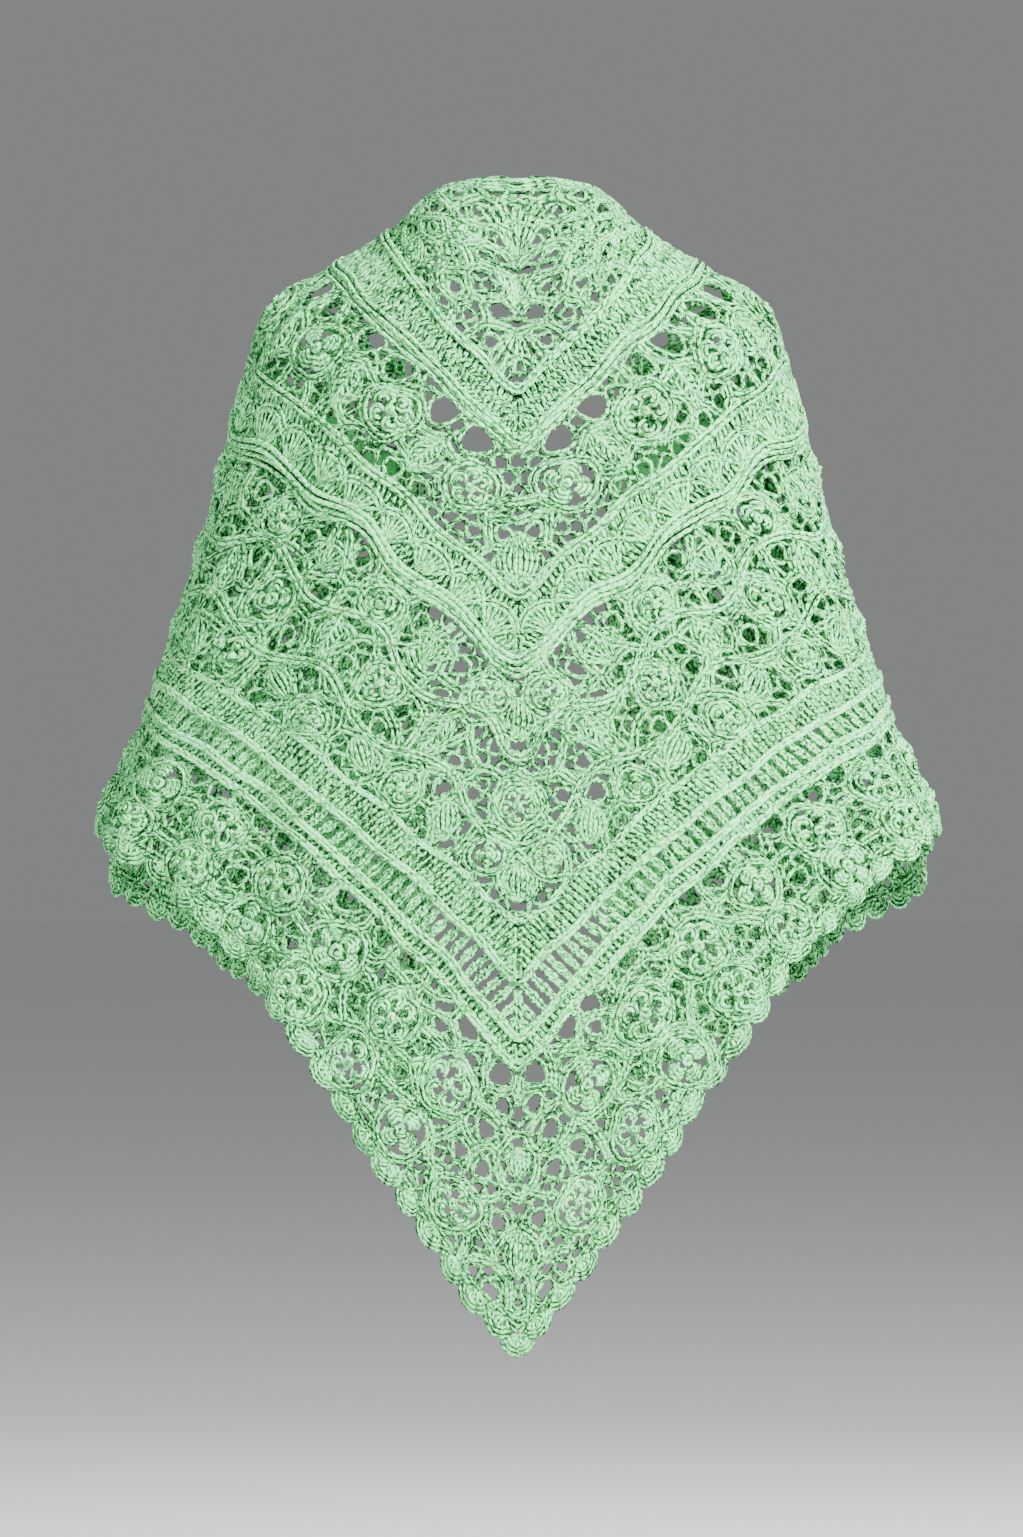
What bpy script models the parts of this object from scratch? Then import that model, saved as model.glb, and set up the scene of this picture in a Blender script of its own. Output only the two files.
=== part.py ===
"""A crocheted triangular shawl in the pose in which it is worn, held up by a wearer's neck and shoulders.

The cloth is drawn flat first, as the half triangle that a crocheter lays out: X runs from the spine to a front
tip, Y runs down from the long neck edge. The stitches go round in V-shaped bands, so a place in the cloth is
also given by its depth (X + Y, measured down the spine) and its share (0 on the spine, 1 on the neck edge).
Holes and raised stitches are made in the flat cloth, which gets its thickness and is then draped.

The frame: metres, +Z up, -Y is the wearer's back, and the origin is on the neck's axis, a little under its nape.
"""

import math

import bmesh
import bpy
import numpy as np

# Driving dimensions, in metres
SIDE_LENGTH = 0.925         # from the nape to a front tip, along the neck edge
WALL = 0.003                # thickness of the cloth
SEAM = 0.0006               # what each piece keeps from a seam, in depth
EDGING = 0.013              # width of the neck edging
RIDGE = 0.0045              # how far a corded ridge stands out of the cloth
ROSE = 0.0042               # how far the middle of a rose stands out
FAN = 0.0025                # how far a fan of stitches stands out
SCALLOP = 0.015             # how deep the hem is cut between two shells
HOLE_FRAME = 0.0052         # least width of the cloth between a hole and the edge of its cell

# Depths of the seams between the bands, measured down the spine
YOKE_BAND_TOP = 0.193
ROSE_LACE_TOP = 0.247
FAN_BAND_TOP = 0.359
FLOWER_LACE_TOP = 0.433
LADDER_TOP = 0.635
BORDER_TOP = 0.759
SCALLOPS_TOP = 0.880

# Cells along half a band: the upper rows are short, and the scallops need a finer outline
TOP_CELLS = 12
YOKE_CELLS = 24
LOWER_CELLS = 48
HEM_CELLS = 96
CELLS_PER_ROSE = 3          # in the border, and in the flower lace
CELLS_PER_YOKE_ROSE = 4
CELLS_PER_SHELL = 3

# Depths of the rows of each band, from seam to seam
TOP_ROWS = (0.0215, 0.065, 0.108, 0.151, YOKE_BAND_TOP)
YOKE_ROWS = (YOKE_BAND_TOP, 0.200, 0.220, 0.240, ROSE_LACE_TOP)
ROSE_ROWS = (ROSE_LACE_TOP, 0.273, 0.302, 0.331, FAN_BAND_TOP)
FAN_ROWS = (FAN_BAND_TOP, 0.372, 0.399, 0.426, FLOWER_LACE_TOP)
FLOWER_ROWS = (FLOWER_LACE_TOP, 0.467, 0.500, 0.534, 0.568, 0.601, LADDER_TOP)
LADDER_ROWS = (LADDER_TOP, 0.661, 0.687, 0.728, 0.744, BORDER_TOP)
BORDER_ROWS = (BORDER_TOP, 0.789, 0.820, 0.850, SCALLOPS_TOP)
HEM_ROWS = (SCALLOPS_TOP, SIDE_LENGTH)

# The drape: guide lines over a general figure
SPINE_GUIDE = (             # y, z
    (-0.058, 0.037),
    (-0.068, 0.018),
    (-0.088, -0.026),
    (-0.112, -0.078),
    (-0.131, -0.139),
    (-0.142, -0.220),
    (-0.146, -0.320),
    (-0.146, -0.450),
    (-0.143, -0.600),
    (-0.140, -0.750),
    (-0.139, -1.040),
)
FRONT_GUIDE = (             # x, y, z
    (0.000, -0.058, 0.037),
    (0.028, -0.054, 0.037),
    (0.052, -0.036, 0.035),
    (0.062, -0.012, 0.028),
    (0.064, 0.020, 0.014),
    (0.069, 0.053, -0.016),
    (0.072, 0.083, -0.066),
    (0.075, 0.111, -0.135),
    (0.077, 0.128, -0.215),
    (0.077, 0.137, -0.330),
    (0.075, 0.139, -0.560),
    (0.072, 0.139, -0.860),
)
SIDE_GUIDE = (              # depth, x, y, z, share behind the side, slopes: at the spine, before, after the side
    (0.000, 0.000, -0.058, 0.037, 0.78, 1.00, 0.20, 0.20),
    (0.050, 0.054, -0.044, 0.030, 0.78, 1.00, 0.20, 0.20),
    (0.100, 0.079, -0.028, 0.019, 0.78, 1.00, 0.20, 0.20),
    (0.160, 0.094, -0.018, 0.005, 0.77, 1.00, 0.20, 0.20),
    (0.200, 0.110, -0.012, -0.007, 0.76, 1.00, 0.20, 0.20),
    (0.250, 0.154, -0.005, -0.033, 0.74, 1.00, 0.20, 0.20),
    (0.300, 0.197, 0.000, -0.056, 0.71, 1.00, 0.20, 0.18),
    (0.335, 0.2145, 0.001, -0.078, 0.69, 1.00, 0.20, 0.16),
    (0.373, 0.2245, 0.003, -0.110, 0.66, 1.00, 0.20, 0.14),
    (0.428, 0.2385, 0.004, -0.165, 0.62, 1.00, 0.20, 0.10),
    (0.533, 0.263, 0.008, -0.257, 0.55, 0.98, 0.20, 0.00),
    (0.644, 0.2945, 0.010, -0.354, 0.49, 0.98, 0.20, -0.20),
    (0.700, 0.3040, 0.011, -0.382, 0.475, 1.12, 0.20, -0.32),
    (0.759, 0.3130, 0.012, -0.409, 0.46, 1.28, 0.22, -0.45),
    (0.930, 0.358, 0.012, -0.508, 0.44, 1.34, 0.25, -0.72),
    (1.050, 0.385, 0.012, -0.578, 0.44, 1.34, 0.25, -0.72),
)
HEM_GUIDE = (               # share of the band, depth of the hem
    (0.00, 0.992),
    (0.05, 1.004),
    (0.10, 0.997),
    (0.15, 0.986),
    (0.20, 0.964),
    (0.25, 0.945),
    (0.30, 0.929),
    (0.37, 0.919),
    (0.44, 0.925),
    (1.00, SIDE_LENGTH),
)
BACK_ROUNDNESS = 2.35       # exponents of the superellipses: 2 is round, more is flatter with quicker corners
FRONT_ROUNDNESS = 2.5
FOLDS = (                   # depth, front folds' reach, arm groove, hem ripple
    (0.000, 0.000, 0.000, 0.0000),
    (0.280, 0.000, 0.002, 0.0000),
    (0.420, 0.004, 0.007, 0.0000),
    (0.640, 0.012, 0.009, 0.0010),
    (0.760, 0.016, 0.009, 0.0025),
    (0.915, 0.021, 0.008, 0.0065),
    (1.050, 0.022, 0.008, 0.0070),
)
FRONT_FOLDS = 3.25          # folds in half the front
HEM_RIPPLES = 5.0           # ripples in half the back
GROOVE_AT = 0.62            # where the groove between arm and back lies, as a share of the way to the side
GROOVE_WIDTH = 0.13
GRID_DEPTHS = 127
GRID_SHARES = 241
CALM_DEPTHS = 3             # neighbours each way over which the outward direction is averaged
CALM_SHARES = 7
ARC_POINTS = 60


def smooth(table, at):
    """The columns of a table at some values of its first column, on a smooth curve through its rows."""
    rows = np.array(table, float)
    key, values = rows[:, 0], rows[:, 1:]
    at = np.clip(at, key[0], key[-1])
    slope = np.gradient(values, key, axis=0)
    i = np.clip(np.searchsorted(key, at, side="right") - 1, 0, len(key) - 2)
    span = (key[i + 1] - key[i])[:, None]
    t = ((at - key[i])[:, None]) / span
    low, high = 2 * t**3 - 3 * t**2 + 1, 3 * t**2 - 2 * t**3
    return (
        low * values[i]
        + high * values[i + 1]
        + (t**3 - 2 * t**2 + t) * span * slope[i]
        + (t**3 - t**2) * span * slope[i + 1]
    )


def lengths(points):
    """The distance along a line of points at each of them."""
    steps = np.linalg.norm(np.diff(points, axis=0), axis=1)
    return np.concatenate([[0.0], np.cumsum(steps)])


def guide(points, at):
    """The points at some distances along a smooth line through a guide's points."""
    points = np.array(points, float)
    table = np.column_stack([lengths(points), points])
    fine = smooth(table, np.linspace(0, table[-1, 0], 400))
    along = lengths(fine)
    return np.column_stack([np.interp(at, along, fine[:, k]) for k in range(fine.shape[1])])


def hermite(start, start_slope, end, end_slope, t):
    """A cubic from start to end with a slope at each, for t from 0 to 1."""
    return (
        (2 * t**3 - 3 * t**2 + 1) * start
        + (t**3 - 2 * t**2 + t) * start_slope
        + (3 * t**2 - 2 * t**3) * end
        + (t**3 - t**2) * end_slope
    )


def pushed(plan, amount):
    """A line in plan with each of its points moved outwards, square to the line."""
    along = np.gradient(plan, axis=0)
    along /= np.maximum(np.linalg.norm(along, axis=1), 1e-9)[:, None]
    return plan + amount[:, None] * np.column_stack([along[:, 1], -along[:, 0]])


def spread_evenly(points, count):
    along = lengths(points)
    at = np.linspace(0, along[-1], count)
    return np.column_stack([np.interp(at, along, points[:, k]) for k in range(3)])


def band_line(back, front, side, folds, shares):
    """The draped line of one depth, from the spine round the side to the front edge."""
    xs, ys, zs, behind, rise, into_side, past_side = side
    reach, groove, ripple = folds
    turn = np.linspace(0, math.pi / 2, ARC_POINTS)
    plan = np.column_stack([
        xs * np.sin(turn) ** (2 / BACK_ROUNDNESS),
        ys + (back[1] - ys) * np.cos(turn) ** (2 / BACK_ROUNDNESS),
    ])
    way = lengths(plan)
    t = way / max(way[-1], 1e-9)
    inward = groove * np.exp(-(((t - GROOVE_AT) / GROOVE_WIDTH) ** 2))
    waves = ripple * np.sin(2 * math.pi * HEM_RIPPLES * t) * np.sin(math.pi * t)
    z = hermite(back[2], rise * way[-1], zs, into_side * way[-1], t)
    behind_line = np.column_stack([pushed(plan, waves - inward), z])

    plan = np.column_stack([
        front[0] + (xs - front[0]) * np.cos(turn) ** (2 / FRONT_ROUNDNESS),
        ys + (front[1] - ys) * np.sin(turn) ** (2 / FRONT_ROUNDNESS),
    ])
    way = lengths(plan)
    t = way / max(way[-1], 1e-9)
    fade = np.clip(t / 0.25, 0, 1)
    waves = -reach * fade * np.sin(2 * math.pi * FRONT_FOLDS * t)
    z = hermite(zs, past_side * way[-1], front[2], 1.1 * (front[2] - zs), t)
    ahead_line = np.column_stack([pushed(plan, waves), z])

    behind_count = int(round(behind * (len(shares) - 1))) + 1
    line = np.vstack([
        spread_evenly(behind_line, behind_count),
        spread_evenly(ahead_line, len(shares) - behind_count + 1)[1:],
    ])
    own = np.concatenate([
        np.linspace(0, behind, behind_count),
        np.linspace(behind, 1, len(shares) - behind_count + 1)[1:],
    ])
    return np.column_stack([np.interp(shares, own, line[:, k]) for k in range(3)])


def calmed(grid, axis, reach):
    """A grid averaged over its neighbours along one axis, so that thick walls don't twist."""
    width = [(0, 0)] * 3
    width[axis] = (reach, reach)
    padded = np.pad(grid, width, mode="edge")
    count = grid.shape[axis]
    shifted = [np.take(padded, range(k, k + count), axis=axis) for k in range(2 * reach + 1)]
    return sum(shifted) / len(shifted)


def draped_grid():
    """The cloth's outer face over the figure, at even depths and shares, and its outward normals."""
    depths = np.linspace(0, SIDE_GUIDE[-1][0], GRID_DEPTHS)
    shares = np.linspace(0, 1, GRID_SHARES)
    spine = guide([(0.0, y, z) for y, z in SPINE_GUIDE], depths)
    front = guide(FRONT_GUIDE, depths)
    sides = smooth(SIDE_GUIDE, depths)
    folds = smooth(FOLDS, depths)
    grid = np.array([band_line(*row, shares) for row in zip(spine, front, sides, folds)])
    down = np.gradient(grid, axis=0)
    along = np.gradient(grid, axis=1)
    out = np.cross(down, along)
    out /= np.maximum(np.linalg.norm(out, axis=2), 1e-12)[:, :, None]
    out[:2] = out[2]
    return grid, calmed(calmed(out, 0, CALM_DEPTHS), 1, CALM_SHARES)


SURFACE, OUTWARD = draped_grid()


def at_grid(grid, depth, share):
    """A grid's value at a depth and a share, between its four nearest points."""
    i = min(max(depth / SIDE_GUIDE[-1][0], 0.0), 1.0) * (GRID_DEPTHS - 1)
    j = min(max(share, 0.0), 1.0) * (GRID_SHARES - 1)
    a, b = min(int(i), GRID_DEPTHS - 2), min(int(j), GRID_SHARES - 2)
    u, v = i - a, j - b
    return (
        (1 - u) * ((1 - v) * grid[a, b] + v * grid[a, b + 1])
        + u * ((1 - v) * grid[a + 1, b] + v * grid[a + 1, b + 1])
    )


HEM_SHARES = np.linspace(0, 1, 401)
HEM_DEPTHS = smooth(HEM_GUIDE, HEM_SHARES)[:, 0]


def lengthened(depth, share):
    """Below the ladder the bands widen towards the spine, so that the back ends in a long point."""
    if depth <= BORDER_TOP:
        return depth
    extra = np.interp(share, HEM_SHARES, HEM_DEPTHS) - SIDE_LENGTH
    return depth + extra * (depth - BORDER_TOP) / (SIDE_LENGTH - BORDER_TOP)


def draped(depth, share, height):
    """The point of the worn shawl for a place in the flat cloth and a height over its inner face."""
    depth = lengthened(depth, share)
    normal = at_grid(OUTWARD, depth, share)
    return at_grid(SURFACE, depth, share) + normal / np.linalg.norm(normal) * (height - WALL)


def place(x, y):
    """Depth and share of a point of the flat cloth."""
    depth = x + y
    return depth, (x / depth if depth > 1e-9 else 0.0)


class Seam:
    """A seam along one depth, which both its pieces follow as the same straight stitches."""

    def __init__(self, depth, cells):
        self.depth = depth
        self.cells = cells

    def point(self, depth, share, height):
        last = 1 - EDGING / depth
        column = share / last * self.cells
        low = min(int(column + 1e-6), self.cells - 1)
        part = column - low
        ends = [draped(depth, (low + k) / self.cells * last, height) for k in (0, 1)]
        return (1 - part) * ends[0] + part * ends[1]


SEAMS = (
    Seam(YOKE_BAND_TOP, TOP_CELLS),
    Seam(ROSE_LACE_TOP, YOKE_CELLS),
    Seam(FAN_BAND_TOP, YOKE_CELLS),
    Seam(FLOWER_LACE_TOP, YOKE_CELLS),
    Seam(LADDER_TOP, YOKE_CELLS),
    Seam(BORDER_TOP, LOWER_CELLS),
    Seam(SCALLOPS_TOP, LOWER_CELLS),
)


def worn(x, y, height):
    """Drapes a point of the flat cloth. A point beside a seam keeps to the seam's straight stitches."""
    depth, share = place(x, y)
    for seam in SEAMS:
        if abs(depth - seam.depth) < 2 * SEAM and share <= 1 - EDGING / depth + 1e-6:
            return seam.point(depth, share, height)
    return draped(depth, share, height)


def flat_grid(rows, columns, spot):
    """A sheet of cells, with the vertex of row i and column j at the flat point spot(i, j)."""
    bm = bmesh.new()
    bmesh.ops.create_grid(bm, x_segments=columns, y_segments=rows, size=1.0)
    row_of = bm.verts.layers.int.new("row")
    column_of = bm.verts.layers.int.new("column")
    for vert in bm.verts:
        i = int(round((1 - vert.co.y) / 2 * rows))
        j = int(round((vert.co.x + 1) / 2 * columns))
        vert[row_of], vert[column_of] = i, j
        x, y = spot(i, j)
        vert.co = (x, y, 0.0)
    bm.normal_update()
    return bm, row_of, column_of


def cut_holes(bm, row_of, column_of, wanted):
    """Insets the cells that wanted(row, column) gives a frame width for, and takes out their middles."""
    for face in list(bm.faces):
        i = min(v[row_of] for v in face.verts)
        j = min(v[column_of] for v in face.verts)
        frame = wanted(i, j)
        if frame:
            bmesh.ops.inset_individual(bm, faces=[face], thickness=frame, use_even_offset=True)
            bmesh.ops.delete(bm, geom=[face], context="FACES")


def thickened(bm, relief):
    """Gives the flat sheet its thickness, with relief(vertex) added to its outer side."""
    inner = list(bm.faces)
    raised = bmesh.ops.extrude_face_region(bm, geom=inner, use_keep_orig=True)["geom"]
    for vert in (g for g in raised if isinstance(g, bmesh.types.BMVert)):
        vert.co.z = WALL + relief(vert)
    bmesh.ops.recalc_face_normals(bm, faces=bm.faces)


def colour(name, red_green_blue, roughness):
    material = bpy.data.materials.new(name)
    material.use_nodes = True
    surface = material.node_tree.nodes["Principled BSDF"]
    surface.inputs["Base Color"].default_value = (*red_green_blue, 1.0)
    surface.inputs["Roughness"].default_value = roughness
    surface.inputs["Metallic"].default_value = 0.0
    return material


def whole_piece(bm, name, red_green_blue):
    """Opens the half sheet at the spine, drapes it, and mirrors it into the whole piece.

    X, Y and height of the flat cloth turn the other way round than the drape, so its faces are reversed.
    """
    on_spine = [f for f in bm.faces if all(abs(v.co.x) < 1e-7 for v in f.verts)]
    bmesh.ops.delete(bm, geom=on_spine, context="FACES")
    for vert in bm.verts:
        on_the_spine = abs(vert.co.x) < 1e-7
        vert.co = worn(max(vert.co.x, 0.0), vert.co.y, vert.co.z)
        if on_the_spine:
            vert.co.x = 0.0
    bmesh.ops.reverse_faces(bm, faces=bm.faces)
    mesh = bpy.data.meshes.new(name)
    bm.to_mesh(mesh)
    bm.free()
    piece = bpy.data.objects.new(name, mesh)
    SHAWL.objects.link(piece)
    mirror = piece.modifiers.new("other side", "MIRROR")
    mirror.merge_threshold = 0.00005
    mesh.shade_smooth()
    mesh.set_sharp_from_angle(angle=math.radians(50))
    mesh.materials.append(colour(name + " cotton", red_green_blue, 0.9))
    return piece


def band(name, depths, cells, holes, relief, red_green_blue, hem=None):
    """One V-shaped band, with its rows at the given depths. Its ends keep clear of the seams."""
    depths = [depths[0] + SEAM, *depths[1:-1], depths[-1] - (0 if hem else SEAM)]

    def spot(i, j):
        depth = depths[i]
        if hem and i == len(depths) - 1:
            depth += hem(j)
        x = j / cells * (depth - EDGING - SEAM)
        return x, depth - x

    bm, row_of, column_of = flat_grid(len(depths) - 1, cells, spot)
    cut_holes(bm, row_of, column_of, holes)
    thickened(bm, lambda v: relief(v[row_of], v[column_of]))
    whole_piece(bm, name, red_green_blue)


def no_holes(i, j):
    return None


def neck_edging():
    """The corded edge round the neck and down both fronts, with a column at each row of the bands."""
    bands = (TOP_ROWS, YOKE_ROWS, ROSE_ROWS, FAN_ROWS, FLOWER_ROWS, LADDER_ROWS, BORDER_ROWS, HEM_ROWS)
    columns = [0.0, *(depth - EDGING for depth in sorted({row for rows in bands for row in rows}))]

    def spot(i, j):
        return columns[j], (EDGING - SEAM) * i / 2

    bm, row_of, column_of = flat_grid(2, len(columns) - 1, spot)
    thickened(bm, lambda v: RIDGE * 0.8 if v[row_of] == 1 else 0.0)
    whole_piece(bm, "neck_edging", (0.36, 0.62, 0.38))


def top_lace():
    """The small triangle of lace that the shawl starts from."""
    nape = EDGING + SEAM

    def spot(i, j):
        if i == 0:
            return j / TOP_CELLS * (TOP_ROWS[0] - nape), nape
        depth = TOP_ROWS[i] - (SEAM if i == 4 else 0)
        x = j / TOP_CELLS * (depth - nape)
        return x, depth - x

    def holes(i, j):
        return 0.0045 if i == 2 and j % 4 == 2 or i == 3 and j % 4 in (0, 2) and j else None

    def relief(i, j):
        return FAN if i in (2, 3) and j % 3 == 0 else 0.0

    bm, row_of, column_of = flat_grid(4, TOP_CELLS, spot)
    cut_holes(bm, row_of, column_of, holes)
    thickened(bm, lambda v: relief(v[row_of], v[column_of]))
    whole_piece(bm, "top_lace", (0.42, 0.70, 0.45))


def yoke_band():
    """Close stitches between two corded ridges."""

    def relief(i, j):
        return RIDGE if i in (1, 3) else 0.0

    band("yoke_band", YOKE_ROWS, YOKE_CELLS, no_holes, relief, (0.33, 0.58, 0.36))


def rose_lace():
    """Roses on an open net, two cells high, under a row of large eyelets."""

    def holes(i, j):
        if i == 0:
            return 0.0045 if j % 2 == 0 else None
        return HOLE_FRAME if i in (1, 2) and j % CELLS_PER_YOKE_ROSE == 3 else None

    def relief(i, j):
        return ROSE if i == 2 and j % CELLS_PER_YOKE_ROSE in (1, 2) else 0.0

    band("rose_lace", ROSE_ROWS, YOKE_CELLS, holes, relief, (0.42, 0.70, 0.45))


def fan_band():
    """Fans of stitches between two corded ridges."""

    def relief(i, j):
        if i in (1, 3):
            return RIDGE
        return FAN if i == 2 and j % 2 else 0.0

    band("fan_band", FAN_ROWS, YOKE_CELLS, no_holes, relief, (0.33, 0.58, 0.36))


def flower_lace():
    """The widest band: small flowers and leaves on an open net."""

    def holes(i, j):
        return 0.0062 if (j + i) % 3 == 1 else None

    def relief(i, j):
        return ROSE if 0 < i < 6 and (j + i) % 3 == 0 else 0.0

    band("flower_lace", FLOWER_ROWS, YOKE_CELLS, holes, relief, (0.42, 0.70, 0.45))


def ladder_band():
    """Long bars between two broad corded rails."""

    def holes(i, j):
        return 0.0045 if i == 2 else None

    def relief(i, j):
        return RIDGE if i in (1, 4) else 0.0

    band("ladder_band", LADDER_ROWS, LOWER_CELLS, holes, relief, (0.36, 0.62, 0.38))


def border_lace():
    """Large roses in two rows, with wide eyelets against the ladder."""

    def holes(i, j):
        phase = j % CELLS_PER_ROSE
        if i == 0:
            return HOLE_FRAME if phase == 2 else None
        if i == 2:
            return HOLE_FRAME if phase == 0 and j % 2 else None
        return None

    def relief(i, j):
        phase = j % CELLS_PER_ROSE
        return ROSE if i == 1 and phase == 1 or i == 3 and phase in (0, 2) else 0.0

    band("border_lace", BORDER_ROWS, LOWER_CELLS, holes, relief, (0.42, 0.70, 0.45))


def scallop_edging():
    """The shell edging of the hem: two shells to each border rose, and one on the point of the back."""

    def hem(j):
        return -SCALLOP if (j + 1) % CELLS_PER_SHELL == 0 else 0.0

    def relief(i, j):
        return 0.0

    band("scallop_edging", HEM_ROWS, HEM_CELLS, no_holes, relief, (0.36, 0.62, 0.38), hem=hem)


for leftover in list(bpy.data.objects):
    bpy.data.objects.remove(leftover, do_unlink=True)
SHAWL = bpy.data.collections.new("shawl")
bpy.context.scene.collection.children.link(SHAWL)

neck_edging()
top_lace()
yoke_band()
rose_lace()
fan_band()
flower_lace()
ladder_band()
border_lace()
scallop_edging()
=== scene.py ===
# %% [markdown]
# # A crocheted triangular shawl, worn
# The real shawl is made of one thing only: thick, soft cotton yarn, worked in V-shaped bands from the nape
# outwards. So this scene is made of yarn too. Every cord, post, petal and mesh of the net is drawn in the
# flat cloth, as a crocheter would lay it out, and one function drapes all of it. That keeps stitches in
# step with each other over the shoulders, which placing them one by one in space would not.

import math

import bmesh
import bpy
import numpy as np
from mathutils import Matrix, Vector
from mathutils.geometry import delaunay_2d_cdt


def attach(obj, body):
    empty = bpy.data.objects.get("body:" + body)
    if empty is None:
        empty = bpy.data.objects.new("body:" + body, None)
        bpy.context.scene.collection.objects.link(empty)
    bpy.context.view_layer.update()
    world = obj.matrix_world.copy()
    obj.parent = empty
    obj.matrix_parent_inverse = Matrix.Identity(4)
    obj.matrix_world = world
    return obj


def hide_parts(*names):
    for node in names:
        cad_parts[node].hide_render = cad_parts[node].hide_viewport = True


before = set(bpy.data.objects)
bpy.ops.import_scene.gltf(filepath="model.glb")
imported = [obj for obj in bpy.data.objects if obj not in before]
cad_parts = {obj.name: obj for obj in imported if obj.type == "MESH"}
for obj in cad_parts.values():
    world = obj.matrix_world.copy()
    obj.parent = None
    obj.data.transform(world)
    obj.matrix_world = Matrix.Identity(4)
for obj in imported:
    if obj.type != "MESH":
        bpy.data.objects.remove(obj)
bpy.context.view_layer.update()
print("nodes:", sorted(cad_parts))

# %% [markdown]
# ## The drape
# The flat cloth is half of a square. X runs along the long neck edge and Y down from it, in metres. The
# depth of a place, x + y, is counted down the spine, the shawl's middle line. Its share, x / depth, goes
# from 0 on the spine to 1 at the neck edge. The tables say where the spine, the front edge and the widest
# point of each depth hang, and a smooth line is led through them. They are the tables of the frame, so the
# yarn lies on the frame's own form.

# %% Depths of the bands
EDGING = 0.013              # width of the neck edging
TOP_END = 0.193             # depths of the seams under the nape lace, the yoke and the ladder
YOKE_END = 0.247
LADDER_END = 0.759
SIDE_LENGTH = 0.925         # depth of the hem at the sides and fronts
DEEPEST = 1.050             # a little past the hem everywhere
ROOT2 = math.sqrt(2)
print("the band of the border is", round((SIDE_LENGTH - LADDER_END) / ROOT2, 3), "m wide at the sides")

# %% Guide lines
SPINE_GUIDE = (             # x, y, z
    (0.0, -0.058, 0.037),
    (0.0, -0.068, 0.018),
    (0.0, -0.088, -0.026),
    (0.0, -0.112, -0.078),
    (0.0, -0.131, -0.139),
    (0.0, -0.142, -0.220),
    (0.0, -0.146, -0.320),
    (0.0, -0.146, -0.450),
    (0.0, -0.143, -0.600),
    (0.0, -0.140, -0.750),
    (0.0, -0.139, -1.040),
)
FRONT_GUIDE = (             # x, y, z
    (0.000, -0.058, 0.037),
    (0.028, -0.054, 0.037),
    (0.052, -0.036, 0.035),
    (0.062, -0.012, 0.028),
    (0.064, 0.020, 0.014),
    (0.069, 0.053, -0.016),
    (0.072, 0.083, -0.066),
    (0.075, 0.111, -0.135),
    (0.077, 0.128, -0.215),
    (0.077, 0.137, -0.330),
    (0.075, 0.139, -0.560),
    (0.072, 0.139, -0.860),
)
# depth, x, y, z, share behind the side, slope at the spine, before the side and past it
SIDE_GUIDE = (
    (0.000, 0.000, -0.058, 0.037, 0.78, 1.00, 0.20, 0.20),
    (0.050, 0.054, -0.044, 0.030, 0.78, 1.00, 0.20, 0.20),
    (0.100, 0.079, -0.028, 0.019, 0.78, 1.00, 0.20, 0.20),
    (0.160, 0.094, -0.018, 0.005, 0.77, 1.00, 0.20, 0.20),
    (0.200, 0.110, -0.012, -0.007, 0.76, 1.00, 0.20, 0.20),
    (0.250, 0.154, -0.005, -0.033, 0.74, 1.00, 0.20, 0.20),
    (0.300, 0.197, 0.000, -0.056, 0.71, 1.00, 0.20, 0.18),
    (0.335, 0.2145, 0.001, -0.078, 0.69, 1.00, 0.20, 0.16),
    (0.373, 0.2245, 0.003, -0.110, 0.66, 1.00, 0.20, 0.14),
    (0.428, 0.2385, 0.004, -0.165, 0.62, 1.00, 0.20, 0.10),
    (0.533, 0.263, 0.008, -0.257, 0.55, 0.98, 0.20, 0.00),
    (0.644, 0.2945, 0.010, -0.354, 0.49, 0.98, 0.20, -0.20),
    (0.700, 0.3040, 0.011, -0.382, 0.475, 1.12, 0.20, -0.32),
    (0.759, 0.3130, 0.012, -0.409, 0.46, 1.28, 0.22, -0.45),
    (0.930, 0.358, 0.012, -0.508, 0.44, 1.34, 0.25, -0.72),
    (1.050, 0.385, 0.012, -0.578, 0.44, 1.34, 0.25, -0.72),
)
HEM_GUIDE = (               # share of the band, depth of the hem
    (0.00, 0.992),
    (0.05, 1.004),
    (0.10, 0.997),
    (0.15, 0.986),
    (0.20, 0.964),
    (0.25, 0.945),
    (0.30, 0.929),
    (0.37, 0.919),
    (0.44, 0.925),
    (1.00, SIDE_LENGTH),
)
FOLDS = (                   # depth, reach of the front folds, of the groove behind the side, of the ripple
    (0.000, 0.000, 0.000, 0.0000),
    (0.280, 0.000, 0.002, 0.0000),
    (0.420, 0.004, 0.007, 0.0000),
    (0.640, 0.012, 0.009, 0.0010),
    (0.760, 0.016, 0.009, 0.0025),
    (0.915, 0.021, 0.008, 0.0065),
    (1.050, 0.022, 0.008, 0.0070),
)
BACK_ROUNDNESS = 2.35       # 2 is round, more is flatter with quicker corners
FRONT_ROUNDNESS = 2.5
FRONT_FOLDS = 3.25          # from the side to the front edge
HEM_RIPPLES = 5.0           # from the spine to the side
GROOVE_AT = 0.62            # part of the way from the spine to the side
GROOVE_WIDTH = 0.13
GRID_ROWS = 169
GRID_COLUMNS = 321
CALM = (4, 9)               # neighbours over which the outward direction is averaged, down and along
CORE = 0.0045               # a height that lies on the outer face of the frame's solids


# %% Smooth lines through the guides
def hermite(start, start_slope, end, end_slope, t):
    """A smooth curve between two heights that keeps its slopes at both ends."""
    return (
        (2 * t**3 - 3 * t**2 + 1) * start
        + (t**3 - 2 * t**2 + t) * start_slope
        + (3 * t**2 - 2 * t**3) * end
        + (t**3 - t**2) * end_slope
    )


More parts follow.
